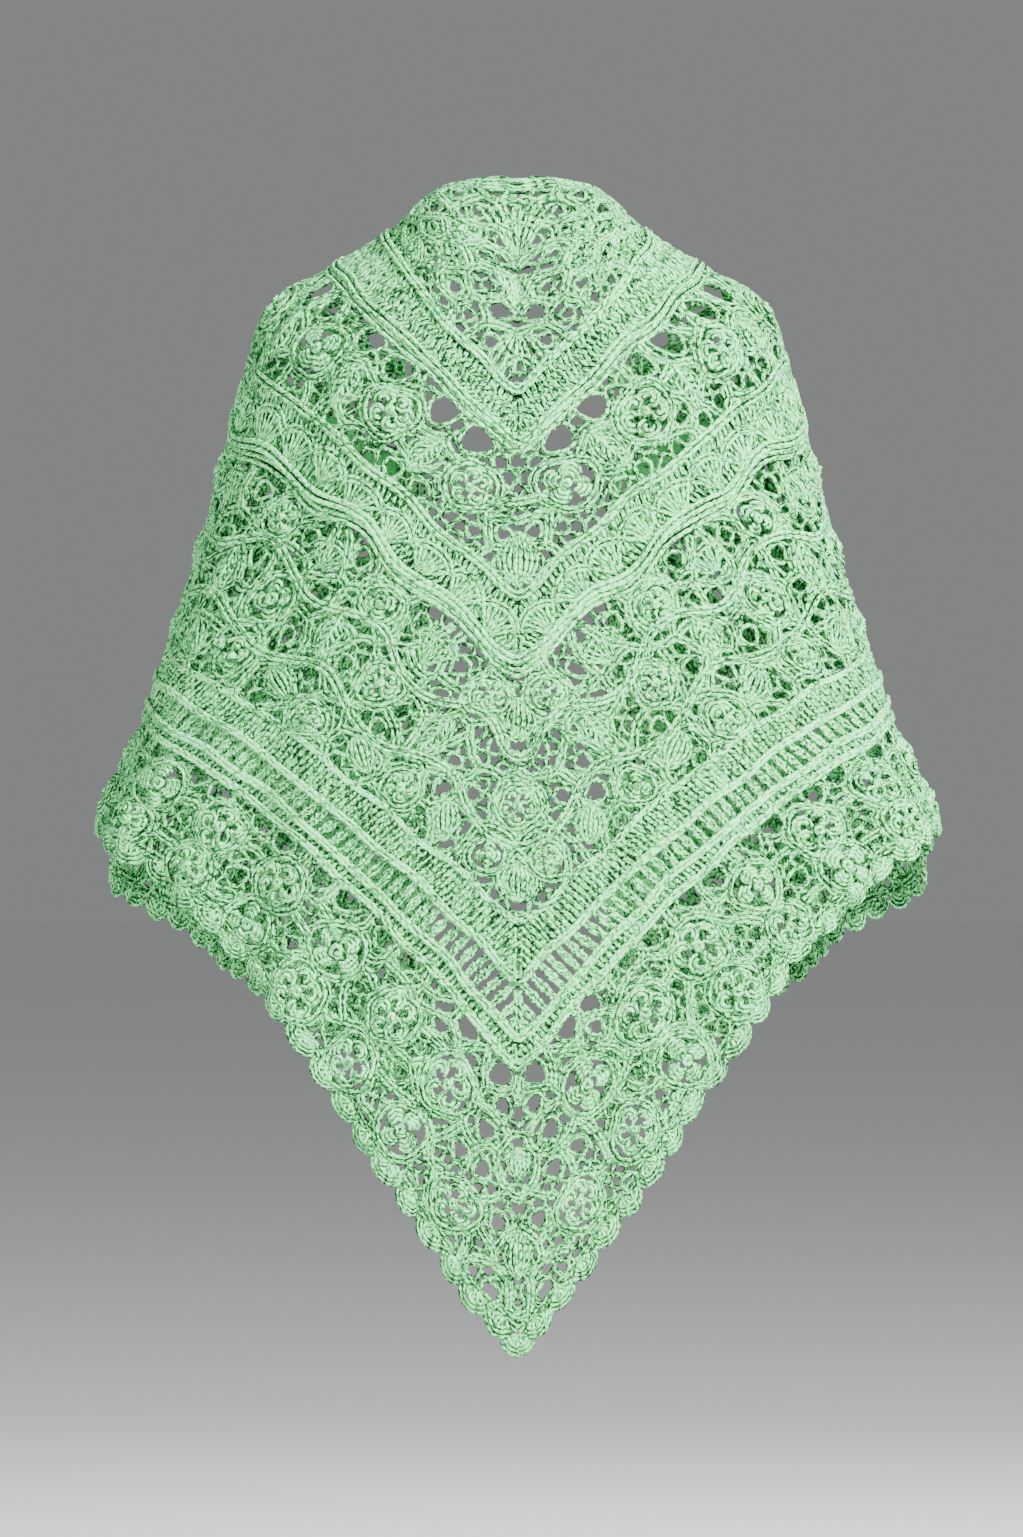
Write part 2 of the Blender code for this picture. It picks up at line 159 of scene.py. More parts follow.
def smooth(table, at):
    """The columns of a table at some values of its first column, on a smooth curve through its rows."""
    rows = np.array(table, float)
    key, values = rows[:, 0], rows[:, 1:]
    at = np.clip(at, key[0], key[-1])
    slope = np.gradient(values, key, axis=0)
    i = np.clip(np.searchsorted(key, at, side="right") - 1, 0, len(key) - 2)
    span = (key[i + 1] - key[i])[:, None]
    t = (at - key[i])[:, None] / span
    return hermite(values[i], span * slope[i], values[i + 1], span * slope[i + 1], t)


def lengths(points):
    """The way along a line of points, at each of them."""
    steps = np.linalg.norm(np.diff(points, axis=0), axis=1)
    return np.concatenate([[0.0], np.cumsum(steps)])


def at_lengths(points, at):
    """The points at some distances along a line of points."""
    along = lengths(points)
    return np.column_stack([np.interp(at, along, column) for column in points.T])


def guide(points, at):
    """Points at some distances along a smooth curve through the points of a table."""
    points = np.array(points, float)
    table = np.column_stack([lengths(points), points])
    return at_lengths(smooth(table, np.linspace(0, table[-1, 0], 400)), at)


def pushed(plan, amount):
    """A line in plan with each of its points moved outwards, square to the line."""
    along = np.gradient(plan, axis=0)
    along /= np.maximum(np.linalg.norm(along, axis=1), 1e-9)[:, None]
    return plan + amount[:, None] * np.column_stack([along[:, 1], -along[:, 0]])


def band_line(back, front, side, folds, shares):
    """The draped line of one depth: from the spine round the side to the front edge."""
    xs, ys, zs, behind, rise, into_side, past_side = side
    reach, groove, ripple = folds
    turn = np.linspace(0, math.pi / 2, 80)
    plan = np.column_stack([
        xs * np.sin(turn) ** (2 / BACK_ROUNDNESS),
        ys + (back[1] - ys) * np.cos(turn) ** (2 / BACK_ROUNDNESS),
    ])
    way = lengths(plan)
    t = way / max(way[-1], 1e-9)
    inward = groove * np.exp(-(((t - GROOVE_AT) / GROOVE_WIDTH) ** 2))
    waves = ripple * np.sin(2 * math.pi * HEM_RIPPLES * t) * np.sin(math.pi * t)
    z = hermite(back[2], rise * way[-1], zs, into_side * way[-1], t)
    behind_line = np.column_stack([pushed(plan, waves - inward), z])

    plan = np.column_stack([
        front[0] + (xs - front[0]) * np.cos(turn) ** (2 / FRONT_ROUNDNESS),
        ys + (front[1] - ys) * np.sin(turn) ** (2 / FRONT_ROUNDNESS),
    ])
    way = lengths(plan)
    t = way / max(way[-1], 1e-9)
    waves = -reach * np.clip(t / 0.25, 0, 1) * np.sin(2 * math.pi * FRONT_FOLDS * t)
    z = hermite(zs, past_side * way[-1], front[2], 1.1 * (front[2] - zs), t)
    ahead_line = np.column_stack([pushed(plan, waves), z])

    back_shares = shares[shares <= behind] / behind
    front_shares = (shares[shares > behind] - behind) / (1 - behind)
    return np.vstack([
        at_lengths(behind_line, back_shares * lengths(behind_line)[-1]),
        at_lengths(ahead_line, front_shares * lengths(ahead_line)[-1]),
    ])


# %% The draped surface, as a fine grid of points and outward directions
def calmed(grid, axis, reach):
    """A grid averaged with its neighbours along one axis."""
    width = [(0, 0)] * 3
    width[axis] = (reach, reach)
    padded = np.pad(grid, width, mode="edge")
    count = grid.shape[axis]
    shifts = range(2 * reach + 1)
    return sum(np.take(padded, range(k, k + count), axis=axis) for k in shifts) / len(shifts)


def draped_grid():
    """The surface and which way is outwards on it, with a row for each depth and a column for each share."""
    depths = np.linspace(0, DEEPEST, GRID_ROWS)
    shares = np.linspace(0, 1, GRID_COLUMNS)
    edges = guide(SPINE_GUIDE, depths), guide(FRONT_GUIDE, depths)
    rows = zip(*edges, smooth(SIDE_GUIDE, depths), smooth(FOLDS, depths))
    grid = np.array([band_line(*row, shares) for row in rows])
    out = np.cross(np.gradient(grid, axis=0), np.gradient(grid, axis=1))
    out /= np.maximum(np.linalg.norm(out, axis=2), 1e-12)[:, :, None]
    out[:2] = out[2]
    return grid, calmed(calmed(out, 0, CALM[0]), 1, CALM[1])


SURFACE, OUTWARD = draped_grid()


# %% Drape any place of the flat cloth
def drape(flat):
    """Points of the hanging shawl, and which way is outwards there, for rows of x, y and height when flat.

    An x below 0 is in the left half.
    """
    x, y, height = flat.T
    depth = np.clip(np.abs(x) + y, 1e-5, DEEPEST)
    i = depth / DEEPEST * (GRID_ROWS - 1)
    j = np.clip(np.abs(x) / depth, 0, 1) * (GRID_COLUMNS - 1)
    a = np.minimum(i.astype(int), GRID_ROWS - 2)
    b = np.minimum(j.astype(int), GRID_COLUMNS - 2)
    u, v = (i - a)[:, None], (j - b)[:, None]

    def between(grid):
        return (
            (1 - u) * ((1 - v) * grid[a, b] + v * grid[a, b + 1])
            + u * ((1 - v) * grid[a + 1, b] + v * grid[a + 1, b + 1])
        )

    out = between(OUTWARD)
    out /= np.linalg.norm(out, axis=1)[:, None]
    points = between(SURFACE) + out * (height - CORE)[:, None]
    for vectors in (points, out):
        vectors[:, 0] *= np.where(x < 0, -1, 1)
    return points, out


HEM_SHARES = np.linspace(0, 1, 401)
HEM_DEPTHS = smooth(HEM_GUIDE, HEM_SHARES)[:, 0]


def hem_depth(share):
    """How deep the shawl is at a share."""
    return np.interp(share, HEM_SHARES, HEM_DEPTHS)


print("the point of the back:", drape(np.array([[0.0, hem_depth(0.0), 0.0]]))[0].round(3))

# %% [markdown]
# ## Yarn
# A strand is a line in the flat cloth with a height over its inner face and a thickness. Strands of one
# kind are gathered in a skein, and a skein becomes one piece: a curve object with a spline for each strand
# and a round bevel, turned into a mesh. A curve is the natural tool for yarn, since it is a line with a
# thickness, and a bevel of four or six sides is enough at this size. Handwork is never quite straight, so
# the flat cloth is wavered a little before it is draped.

# %% Lines of yarn in the flat cloth
RANDOM = np.random.default_rng(7)
WAVER = 0.0013
TWIST_SHIFT = 3.1           # millimetres between the twists of one strand and the next


def wavered(flat):
    """Moves the flat cloth by a millimetre or two, in waves of 60 mm and more, differently in each half."""
    x, y = flat[:, 0], flat[:, 1]
    fade = np.clip((y - EDGING) / 0.03, 0, 1)
    moved = flat.copy()
    moved[:, 0] += WAVER * np.clip(np.abs(x) / 0.03, 0, 1) * np.sin(y / 0.0125 + x / 0.021 + 1.3)
    moved[:, 1] += WAVER * fade * (np.sin(x / 0.0113 - y / 0.019) + 1.1 * np.sin(x / 0.029 + y / 0.11 + 0.7))
    return moved


def resampled(rows, step):
    """Rows about a step apart, along the line of their x and y."""
    along = lengths(rows[:, :2])
    count = max(int(round(along[-1] / step)), 1) + 1
    at = np.linspace(0, along[-1], count)
    return np.column_stack([np.interp(at, along, column) for column in rows.T])


def placed(name, data):
    """A new object in the scene, at the origin."""
    thing = bpy.data.objects.new(name, data)
    bpy.context.scene.collection.objects.link(thing)
    return thing


# %% A skein, which becomes one piece
class Skein:
    """Strands that become one piece."""

    def __init__(self, name, radius, sides=6):
        self.name = name
        self.radius = radius
        self.sides = sides
        self.strands = []

    def add(self, line, height, thick=1.0, step=None, both=True):
        """line is rows of x and y. height and thick are numbers, or one for each row."""
        line = np.asarray(line, float)
        count = len(line)
        rows = np.column_stack([line, np.broadcast_to(height, count), np.broadcast_to(thick, count)])
        if step:
            rows = resampled(rows, step)
        self.strands.append(rows)
        if both:
            self.strands.append(rows * (-1, 1, 1, 1))

    def made(self, material):
        """Drapes the strands and makes them one mesh piece."""
        curve = bpy.data.curves.new(self.name, "CURVE")
        curve.dimensions = "3D"
        curve.bevel_depth = self.radius
        curve.bevel_resolution = self.sides // 2 - 2
        curve.use_fill_caps = True
        sizes = [len(rows) for rows in self.strands]
        every = np.vstack(self.strands)
        places, out = drape(wavered(every[:, :3]))
        start = 0
        for size in sizes:
            spline = curve.splines.new("POLY")
            spline.points.add(size - 1)
            coordinates = np.ones((size, 4))
            coordinates[:, :3] = places[start:start + size]
            spline.points.foreach_set("co", coordinates.ravel())
            spline.points.foreach_set("radius", every[start:start + size, 3])
            start += size
        holder = placed(self.name + "_line", curve)
        mesh = bpy.data.meshes.new_from_object(holder.evaluated_get(bpy.context.evaluated_depsgraph_get()))
        bpy.data.objects.remove(holder)
        mesh.name = self.name
        self.keep_coordinates(mesh, sizes, places, out, every)
        mesh.materials.clear()
        mesh.materials.append(material)
        mesh.shade_smooth()
        metres = sum(lengths(rows[:, :2])[-1] for rows in self.strands)
        triangles = sum(len(face.vertices) - 2 for face in mesh.polygons)
        print(f"{self.name}: {len(sizes)} strands, {metres:.1f} m, {triangles} triangles")
        return placed(self.name, mesh)

    def keep_coordinates(self, mesh, sizes, places, out, every):
        """Keeps for each vertex its way along the strand and its place round it, its lift and its rise.

        The way is in millimetres. Lift is 1 on the outer side of the strand and -1 on the inner side. Rise
        is the height of the whole strand in millimetres. The mesh has the end caps first, from the last
        strand to the first, and then the rings of all the strands.
        """
        starts = np.concatenate([[0], np.cumsum(sizes)])
        ends = [ring for first, past in zip(starts[-2::-1], starts[:0:-1]) for ring in (past - 1, first)]
        ring = np.repeat(np.concatenate([ends, np.arange(starts[-1])]).astype(int), self.sides)
        ways = [lengths(rows[:, :3]) * 1000 + TWIST_SHIFT * k for k, rows in enumerate(self.strands)]
        way = np.concatenate(ways)[ring]
        angle = np.resize(np.arange(self.sides) * 2 * math.pi / self.sides, len(ring))
        where = np.empty(3 * len(mesh.vertices))
        mesh.vertices.foreach_get("co", where)
        off = where.reshape(-1, 3) - places[ring]
        lift = (off * out[ring]).sum(axis=1) / (every[ring, 3] * self.radius)
        yarn = mesh.attributes.new("yarn", "FLOAT_VECTOR", "POINT")
        yarn.data.foreach_set("vector", np.column_stack([way, np.cos(angle), np.sin(angle)]).ravel())
        mesh.attributes.new("lift", "FLOAT", "POINT").data.foreach_set("value", np.clip(lift, -1, 1))
        mesh.attributes.new("rise", "FLOAT", "POINT").data.foreach_set("value", every[ring, 2] * 1000)


# %% [markdown]
# ## The finish of the yarn
# The yarn is a soft cotton, dyed mint green and spun from two plies: matt, with a faint bloom of fibres
# that catches the light at the edges, and a rope-like twist. The twist runs round each strand, so it is
# drawn from the strand's own coordinates, and so are the slits between its fibres. The fluff and the uneven
# dye are noise in space. Colours are given as sRGB hex values and turned to linear by one function.
# Painted shade is also drawn into the colour: on the flanks of the strands, on lower strands, on the net and
# on the outer faces of the ground sheets.

# %% Material helpers
def linear(hex_colour):
    """A colour in linear light, from its sRGB hex value."""
    parts = [int(hex_colour[k:k + 2], 16) / 255 for k in (1, 3, 5)]
    return (*[c / 12.92 if c <= 0.04045 else ((c + 0.055) / 1.055) ** 2.4 for c in parts], 1.0)


def add_node(material, kind, settings=None, **inputs):
    """Adds a node with its settings. Its inputs are values, sockets, or nodes, whose first output is linked.

    An input is called by its name, or by _ and its number.
    """
    tree = material.node_tree
    node = tree.nodes.new(kind)
    for name, value in (settings or {}).items():
        setattr(node, name, value)
    for name, value in inputs.items():
        socket = node.inputs[int(name[1:]) if name[0] == "_" else name.replace("_", " ")]
        if isinstance(value, bpy.types.Node):
            value = value.outputs[0]
        if isinstance(value, bpy.types.NodeSocket):
            tree.links.new(value, socket)
        else:
            socket.default_value = value
    return node


def bare_material(name, roughness):
    """A new material, and the shader of its surface."""
    material = bpy.data.materials.new(name)
    material.use_nodes = True
    surface = material.node_tree.nodes["Principled BSDF"]
    surface.inputs["Roughness"].default_value = roughness
    return material, surface


# %% Two-ply cotton yarn
def cotton_yarn(name, dark, middle, light, twist_mm, start=-1.29):
    """Spun cotton: a rope twist every few millimetres, slits and fluff, on a dye that took unevenly."""
    material, surface = bare_material(name, 0.86)
    link = material.node_tree.links.new
    maths = "ShaderNodeMath"
    place = add_node(material, "ShaderNodeTexCoord").outputs["Object"]
    yarn = add_node(material, "ShaderNodeAttribute", {"attribute_name": "yarn"}).outputs["Vector"]
    along, side, top = add_node(material, "ShaderNodeSeparateXYZ", Vector=yarn).outputs
    turns = add_node(material, maths, {"operation": "MULTIPLY"}, _0=along, _1=2 * math.pi / twist_mm)
    angle = add_node(material, maths, {"operation": "ARCTAN2"}, _0=top, _1=side)
    twist = add_node(material, maths, {"operation": "MULTIPLY_ADD"}, _0=angle, _1=2.0, _2=turns)
    ply = add_node(material, maths, {"operation": "SINE"}, _0=twist)
    # the fibres lie along the yarn, and so do the slits between them, which are drawn about four millimetres
    # long and one wide, coarser than real ones, so that they show
    long = add_node(material, "ShaderNodeVectorMath", {"operation": "MULTIPLY"}, _0=yarn, _1=(0.25, 1.1, 1.1))
    fibres = add_node(material, "ShaderNodeTexNoise", Vector=long, Scale=1.0, Detail=2.0)
    slits = add_node(material, "ShaderNodeMapRange", Value=fibres, From_Min=0.40, From_Max=0.54)
    # loose fluff stands out everywhere, in tufts of about two millimetres, also coarser than real ones
    fluff = add_node(material, "ShaderNodeTexNoise", Vector=place, Scale=470.0, Detail=3.0, Roughness=0.65)
    dye = add_node(material, "ShaderNodeTexNoise", Vector=place, Scale=55.0, Detail=4.0, Roughness=0.6)
    relief = add_node(material, maths, {"operation": "MULTIPLY_ADD"}, _0=ply, _1=0.25, _2=slits)
    relief = add_node(material, maths, {"operation": "MULTIPLY_ADD"}, _0=fluff, _1=2.0, _2=relief)
    bump = add_node(material, "ShaderNodeBump", Strength=0.85, Distance=0.0009, Height=relief)
    link(bump.outputs[0], surface.inputs["Normal"])
    # painted shade: where two strands touch, light hardly gets in, so their flanks are painted darker, and
    # strands that stand higher are painted paler than the ones below them, which lie in painted shade
    lift = add_node(material, "ShaderNodeAttribute", {"attribute_name": "lift"}).outputs["Fac"]
    top = add_node(material, maths, {"operation": "ABSOLUTE"}, _0=lift)
    rise = add_node(material, "ShaderNodeAttribute", {"attribute_name": "rise"}).outputs["Fac"]
    shade = start
    for part, weight in ((top, 0.40), (rise, 0.055), (ply, 0.05), (slits, 0.66), (fluff, 1.20), (dye, 0.45)):
        shade = add_node(material, maths, {"operation": "MULTIPLY_ADD"}, _0=part, _1=weight, _2=shade)
    ramp = add_node(material, "ShaderNodeValToRGB", Fac=shade)
    ends = ramp.color_ramp.elements
    ends[0].position, ends[0].color = 0.05, linear(dark)
    ends[1].position, ends[1].color = 0.85, linear(light)
    ends.new(0.42).color = linear(middle)
    link(ramp.outputs[0], surface.inputs["Base Color"])
    surface.inputs["Sheen Weight"].default_value = 0.03
    surface.inputs["Sheen Roughness"].default_value = 0.5
    surface.inputs["Specular IOR Level"].default_value = 0.08
    return material


mint_cord = cotton_yarn("mint cotton cord", "#132b14", "#4bb064", "#8af29b", 4.6)
# the net lies lower than the cords, so its colours are darker: painted shade
mint_net_in_painted_shade = cotton_yarn("mint cotton net yarn in painted shade", "#112612", "#46a75d", "#80e891", 4.0)
# the ground sheets have no lift or rise and darker colours, so their outer faces come out near the dark end:
# painted shade between the stitches
mint_ground_in_painted_shade = cotton_yarn("mint cotton ground in painted shade", "#142e18", "#3e9152", "#6cc87d", 3.0)
# the inner faces of the ground sheets start higher, so they get the yarn's paler colour without that painted
# shade
mint_inside = cotton_yarn("mint cotton inner face", "#2c6b3c", "#48aa60", "#78d88a", 3.0, -0.74)

# %% [markdown]
# ## Lines along and across a band
# Real stitches stand square to the edge that they are worked on. In half the shawl, depth grows along one
# diagonal and the band runs along the other, so a place is also given by its depth and by its way along the
# band, from the middle of the half: below 0 towards the spine, above 0 towards the front tip. A post that
# would pass the spine is cut there, which gives the mitre that the real bands have.

# %% Band helpers
def on_band(depth, way):
    """x and y of a depth and a way along the band."""
    depth, way = np.broadcast_arrays(depth, way)
    return np.column_stack([(depth / 2 + way / ROOT2).ravel(), (depth / 2 - way / ROOT2).ravel()])


def vee(depth, wave=0.0, wave_length=0.1, phase=0.0, edge=EDGING):
    """A line round the whole band at one depth, from the left front edge over the spine to the right one."""
    x = np.linspace(0, depth - edge, 200)
    right = np.column_stack([x, depth - x])
    if wave:
        bend = wave * np.sin(2 * math.pi * x * ROOT2 / wave_length + phase) * np.clip(x / 0.02, 0, 1)
        right += bend[:, None] / ROOT2
    tip = 0.004 * np.exp(-x / 0.005)
    right[:, 1] -= tip
    left = right[:0:-1] * (-1, 1)
    return np.vstack([left, right])


def beside(line, offset):
    """A line at an even distance from another one, in the flat cloth."""
    along = np.gradient(line, axis=0)
    along /= np.linalg.norm(along, axis=1)[:, None]
    return line + offset * np.column_stack([-along[:, 1], along[:, 0]])


def add_cord(skein, line, width, height, both=False, step=0.0065, thick=1.0):
    """A flat chain-stitch cord: two strands side by side, which leaves the groove that shows along it."""
    for side in (-1, 1):
        skein.add(beside(line, side * width / 2), height, thick, step, both)


def add_posts(skein, start, end, pitch, height, lean=0.0, thick=1.0, arch=0.0006):
    """A row of stitches across a band, from one depth to another, in both halves."""
    reach = end / ROOT2
    count = 0
    ways = np.arange(-reach + pitch / 2, reach - EDGING * ROOT2, pitch)
    for way in ways + RANDOM.uniform(-0.12, 0.12, len(ways)) * pitch:
        lowest = max(start / ROOT2, abs(way), way + EDGING * ROOT2)
        if reach - lowest < 0.004:
            continue
        slant = lean * RANDOM.uniform(0.5, 1.5)
        line = on_band(np.linspace(lowest, reach, 3) * ROOT2, way + slant * np.linspace(-1, 1, 3))
        line[:, 0] = np.maximum(line[:, 0], 0)
        tall = height + RANDOM.uniform(-0.0004, 0.0005) + arch * np.array([0, 1, 0])
        skein.add(line, tall, thick * np.array([0.9, 1.1, 0.9]) * RANDOM.uniform(0.93, 1.07))
        count += 1
    return count


# %% [markdown]
# ## Motifs
# A rose is worked from its middle: a coiled heart, petals that lap over each other like the blades of a
# fan, and two rounds of chain that frame it. A leaf has slanting stitches in a double outline, a bud is a
# sheaf of long stitches that belly out, and a fan is a sheaf that spreads to an arched rim. Each is a short
# list of strands round a place, at any size and turn, so no two come out quite alike.

# %% Roses
ROSE_ROUNDS = ((0.0019, 0.0042), (0.0058, 0.0057))  # how far inside the edge a round lies, and its height
FIRST_PETAL = 0.0102        # how far inside the edge the petals start
STRAND_PITCH = 0.0038       # from one strand to the next


def polar(centre, radius, angle):
    """Places at some radii and angles round a centre."""
    radius, angle = np.broadcast_arrays(radius, angle)
    return np.column_stack([centre[0] + radius * np.cos(angle), centre[1] + radius * np.sin(angle)])


def add_rounds(cords, centre, radius, turn, waves, both):
    """Two rounds of chain, a little out of round. waves are the number, size and start of each unevenness."""
    angle = np.linspace(0, 2 * math.pi, 30)
    wave = sum((size * np.cos(number * angle + first) for number, size, first in waves), start=1)
    for inset, height in ROSE_ROUNDS:
        cords.add(polar(centre, (radius - inset) * wave, angle + turn), height, both=both)


def add_heart(fine, centre, radius, taper, turn, low, climb, both):
    """The coil in the middle of a rose, which climbs as it winds in."""
    coil = np.linspace(0, 1, 10)
    line = polar(centre, radius * (1 - taper * coil), turn + coil * 8)
    fine.add(line, low + climb * coil, 1.2, both=both)


def add_rose(cords, fine, centre, radius, turn=0.0, both=True):
    """A rose with five petals of two nested loops, which lean round one way."""
    waves = (2, 0.055, 3 * turn), (3, 0.045, 5 * turn), (5, 0.030, -2 * turn)
    add_rounds(cords, centre, radius, turn, waves, both)
    room = radius - 0.0088
    size = room * 0.37
    t = np.linspace(-1, 1, 8)
    for k in range(5):
        middle = turn + 2 * math.pi * (k + RANDOM.uniform(-0.12, 0.12)) / 5
        hub = polar(centre, (room - size) * RANDOM.uniform(0.94, 1.04), middle)[0]
        spin = np.array([[math.cos(middle), math.sin(middle)], [-math.sin(middle), math.cos(middle)]])
        for loop, reach in ((size, 2.5), (size - 0.0036, 2.2)):
            line = polar((0, 0), max(loop, 0.0012), reach * t + 0.5) * (0.95, 1.22)
            height = 0.0062 + 0.0014 * t + 0.3 * (size - loop)
            fine.add(hub + line @ spin, height, 1.15 - 0.3 * t**2, both=both)
    add_heart(fine, centre, room * 0.24, 0.75, turn, 0.0076, 0.0024, both)


def add_spiral_rose(cords, fine, centre, radius, turn=0.0, both=True):
    """A rose whose four petals are long crescents that wind in to the middle, each end over the next one."""
    waves = (2, 0.06, 2 * turn), (3, 0.050, 4 * turn)
    add_rounds(cords, centre, radius, turn, waves, both)
    t = np.linspace(-1, 1, 7)
    strands = 2 if radius < 0.025 else 3
    for k in range(4):
        middle = turn + 2 * math.pi * (k + RANDOM.uniform(-0.14, 0.14)) / 4
        half = math.pi / 4 * RANDOM.uniform(0.85, 1.0)
        for strand in range(strands):
            bow = (radius - FIRST_PETAL - STRAND_PITCH * strand) * (1 - 0.34 * t**2 + 0.16 * t)
            height = 0.0058 + 0.0010 * strand + 0.0022 * t
            fine.add(polar(centre, bow, middle + half * t), height, 1.15 - 0.45 * t**2, both=both)
    heart = (radius - FIRST_PETAL - STRAND_PITCH * strands) * 0.9
    add_heart(fine, centre, heart, 0.8, turn, 0.0074, 0.0026, both)


def add_pair(cords, fine, centre, radius, turn, sizes, number):
    """A rose in each half, a little different. By its number, one in three is a spiral one."""
    for half in (1, -1):
        make_rose = add_rose if (number + half) % 3 else add_spiral_rose
        size = radius * RANDOM.uniform(*sizes)
        make_rose(cords, fine, centre * (half, 1), size, turn + half, both=False)


# %% Fans, leaves, buds and small flowers
def add_fan(skein, root, way, size, spread=0.95, ribs=8, rim=True, both=True, height=0.0040):
    """A fan of long stitches from one loop, under an arched double rim. way is where it opens to."""
    radii = size * np.array([0.14, 0.5, 0.92])
    heights = height + np.array([0.0, 0.0014, 0.0006])
    for k in range(ribs):
        angle = way + spread * (2 * k / (ribs - 1) - 1) + RANDOM.uniform(-0.03, 0.03)
        skein.add(polar(root, radii, angle), heights, (0.7, 1.0, 1.1), both=both)
    if rim:
        angles = way + np.linspace(-spread * 1.12, spread * 1.12, 9)
        for inset in (0.0, STRAND_PITCH):
            skein.add(polar(root, size - inset, angles), height + 0.25 * inset, both=both)


def spine_of(root, way, length, width):
    """A function that gives places in a leaf or bud, by parts of its length and of its half width."""
    along = np.array([math.cos(way), math.sin(way)])
    across = np.array([-along[1], along[0]])

    def place(part, aside):
        part, aside = np.broadcast_arrays(np.asarray(part, float), aside)
        half = width / 2 * np.sin(math.pi * part) ** 0.8
        return root + part[:, None] * length * along + (aside * half)[:, None] * across

    return place


def add_leaf(cords, fine, root, way, length, width, both=True):
    """A pointed leaf: a double outline, a midrib and slanting side stitches."""
    place = spine_of(root, way, length, width)
    part = np.linspace(0, 1, 9)
    for side in (-1, 1):
        cords.add(place(part, side), 0.0040, 0.95, both=both)
        cords.add(place(part, 0.64 * side), 0.0052, 0.9, both=both)
        for foot in np.linspace(0.14, 0.74, 5):
            line = place([foot, foot + 0.09, foot + 0.17], np.array([0.0, 0.25, 0.5]) * side)
            fine.add(line, (0.0058, 0.0062, 0.0056), both=both)
    fine.add(place(np.linspace(0, 0.96, 5), 0.0), 0.0066, both=both)


def add_bud(skein, root, way, length, width, ribs=7, both=True):
    """A bud: long stitches from one loop to another, which belly out in between."""
    place = spine_of(root, way, length, width)
    part = np.linspace(0.01, 0.99, 7)
    belly = np.sin(math.pi * part)
    for aside in np.linspace(-1, 1, ribs):
        height = 0.0042 + 0.0026 * (1 - aside**2) * belly
        skein.add(place(part, aside), height, 0.65 + 0.45 * belly, both=both)


def add_floret(fine, centre, radius, turn):
    """A small flower: five loops round a raised knot."""
    for k in range(5):
        middle = turn + 2 * math.pi * k / 5
        hub = polar(centre, radius * 0.56, middle)[0]
        ring = np.linspace(0, 2 * math.pi, 9) + middle
        fine.add(polar(hub, radius * 0.36, ring), 0.0046)
        fine.add(polar(hub, radius * np.array([0.05, 0.16]), middle), 0.0054, 1.1)
    fine.add(np.array([centre, centre]) + ((-0.0016, 0.0), (0.0016, 0.0)), 0.0064, 1.9)


# %% [markdown]
# ## The net
# Between the motifs runs an irregular net of short stitches. Nothing repeats in it, so it is grown rather
# than drawn: points are strewn about evenly over the band, and the stitches follow the edges of the cells
# round the points, where two neighbours are equally near. Those edges come from joining the centres of the
# circles through each three neighbouring points, which Blender's own triangulation finds. Eyelets are left
# open in it, each with a rim of cord, and double cords wander between eyelets and motifs.

# %% Strew points, and find the cells round them
SHORTEST = 0.0008           # an edge that is cut shorter than this is left out


def strewn(inside, box, pitch, jitter=0.26):
    """Points of an uneven honeycomb over a region."""
    low_x, high_x, low_y, high_y = box
    points = []
    for r, y in enumerate(np.arange(low_y, high_y, pitch * 0.866)):
        x = np.arange(low_x + (pitch / 2 if r % 2 else 0), high_x, pitch)
        points.append(np.column_stack([x, np.full(len(x), y)]))
    points = np.vstack(points)
    points += RANDOM.uniform(-jitter, jitter, points.shape) * pitch
    return points[inside(points)]


def cell_edges(points):
    """The edges of the cells round the points, as pairs of ends."""
    vertices, _, faces, *_ = delaunay_2d_cdt([tuple(p) for p in points], [], [], 0, 1e-6)
    at = np.array([tuple(v) for v in vertices])
    tri = np.array(faces)
    a, b, c = at[tri[:, 0]], at[tri[:, 1]], at[tri[:, 2]]
    b, c = b - a, c - a
    double = 2 * (b[:, 0] * c[:, 1] - b[:, 1] * c[:, 0])
    bb = (b**2).sum(1)
    cc = (c**2).sum(1)
    off = np.column_stack([c[:, 1] * bb - b[:, 1] * cc, b[:, 0] * cc - c[:, 0] * bb])
    centres = a + off / double[:, None]
    owner, edges = {}, []
    for f, corners in enumerate(tri):
        for k in range(3):
            key = tuple(sorted((corners[k], corners[(k + 1) % 3])))
            if key in owner:
                edges.append((centres[owner[key]], centres[f]))
            else:
                owner[key] = f
    return edges


def clipped(start, end, planes, discs):
    """What is left of an edge inside some half planes (nx, ny, most) and outside some discs."""
    low, high = 0.0, 1.0
    along = end - start
    for nx, ny, most in planes:
        at = nx * start[0] + ny * start[1] - most
        rate = nx * along[0] + ny * along[1]
        if abs(rate) < 1e-12:
            if at > 0:
                return None
        elif rate > 0:
            high = min(high, -at / rate)
        else:
            low = max(low, -at / rate)
    if high <= low:
        return None
    for x, y, radius in discs:
        off = start - (x, y)
        square, cross, rest = along @ along, off @ along, off @ off - radius * radius
        under = cross * cross - square * rest
        if under <= 0:
            continue
        root = math.sqrt(under)
        enter, leave = (-cross - root) / square, (-cross + root) / square
        if enter <= low and leave >= high:
            return None
        if enter <= low < leave:
            low = leave
        elif enter < high <= leave:
            high = enter
    if (high - low) * math.sqrt(along @ along) <= SHORTEST:
        return None
    return start + low * along, start + high * along


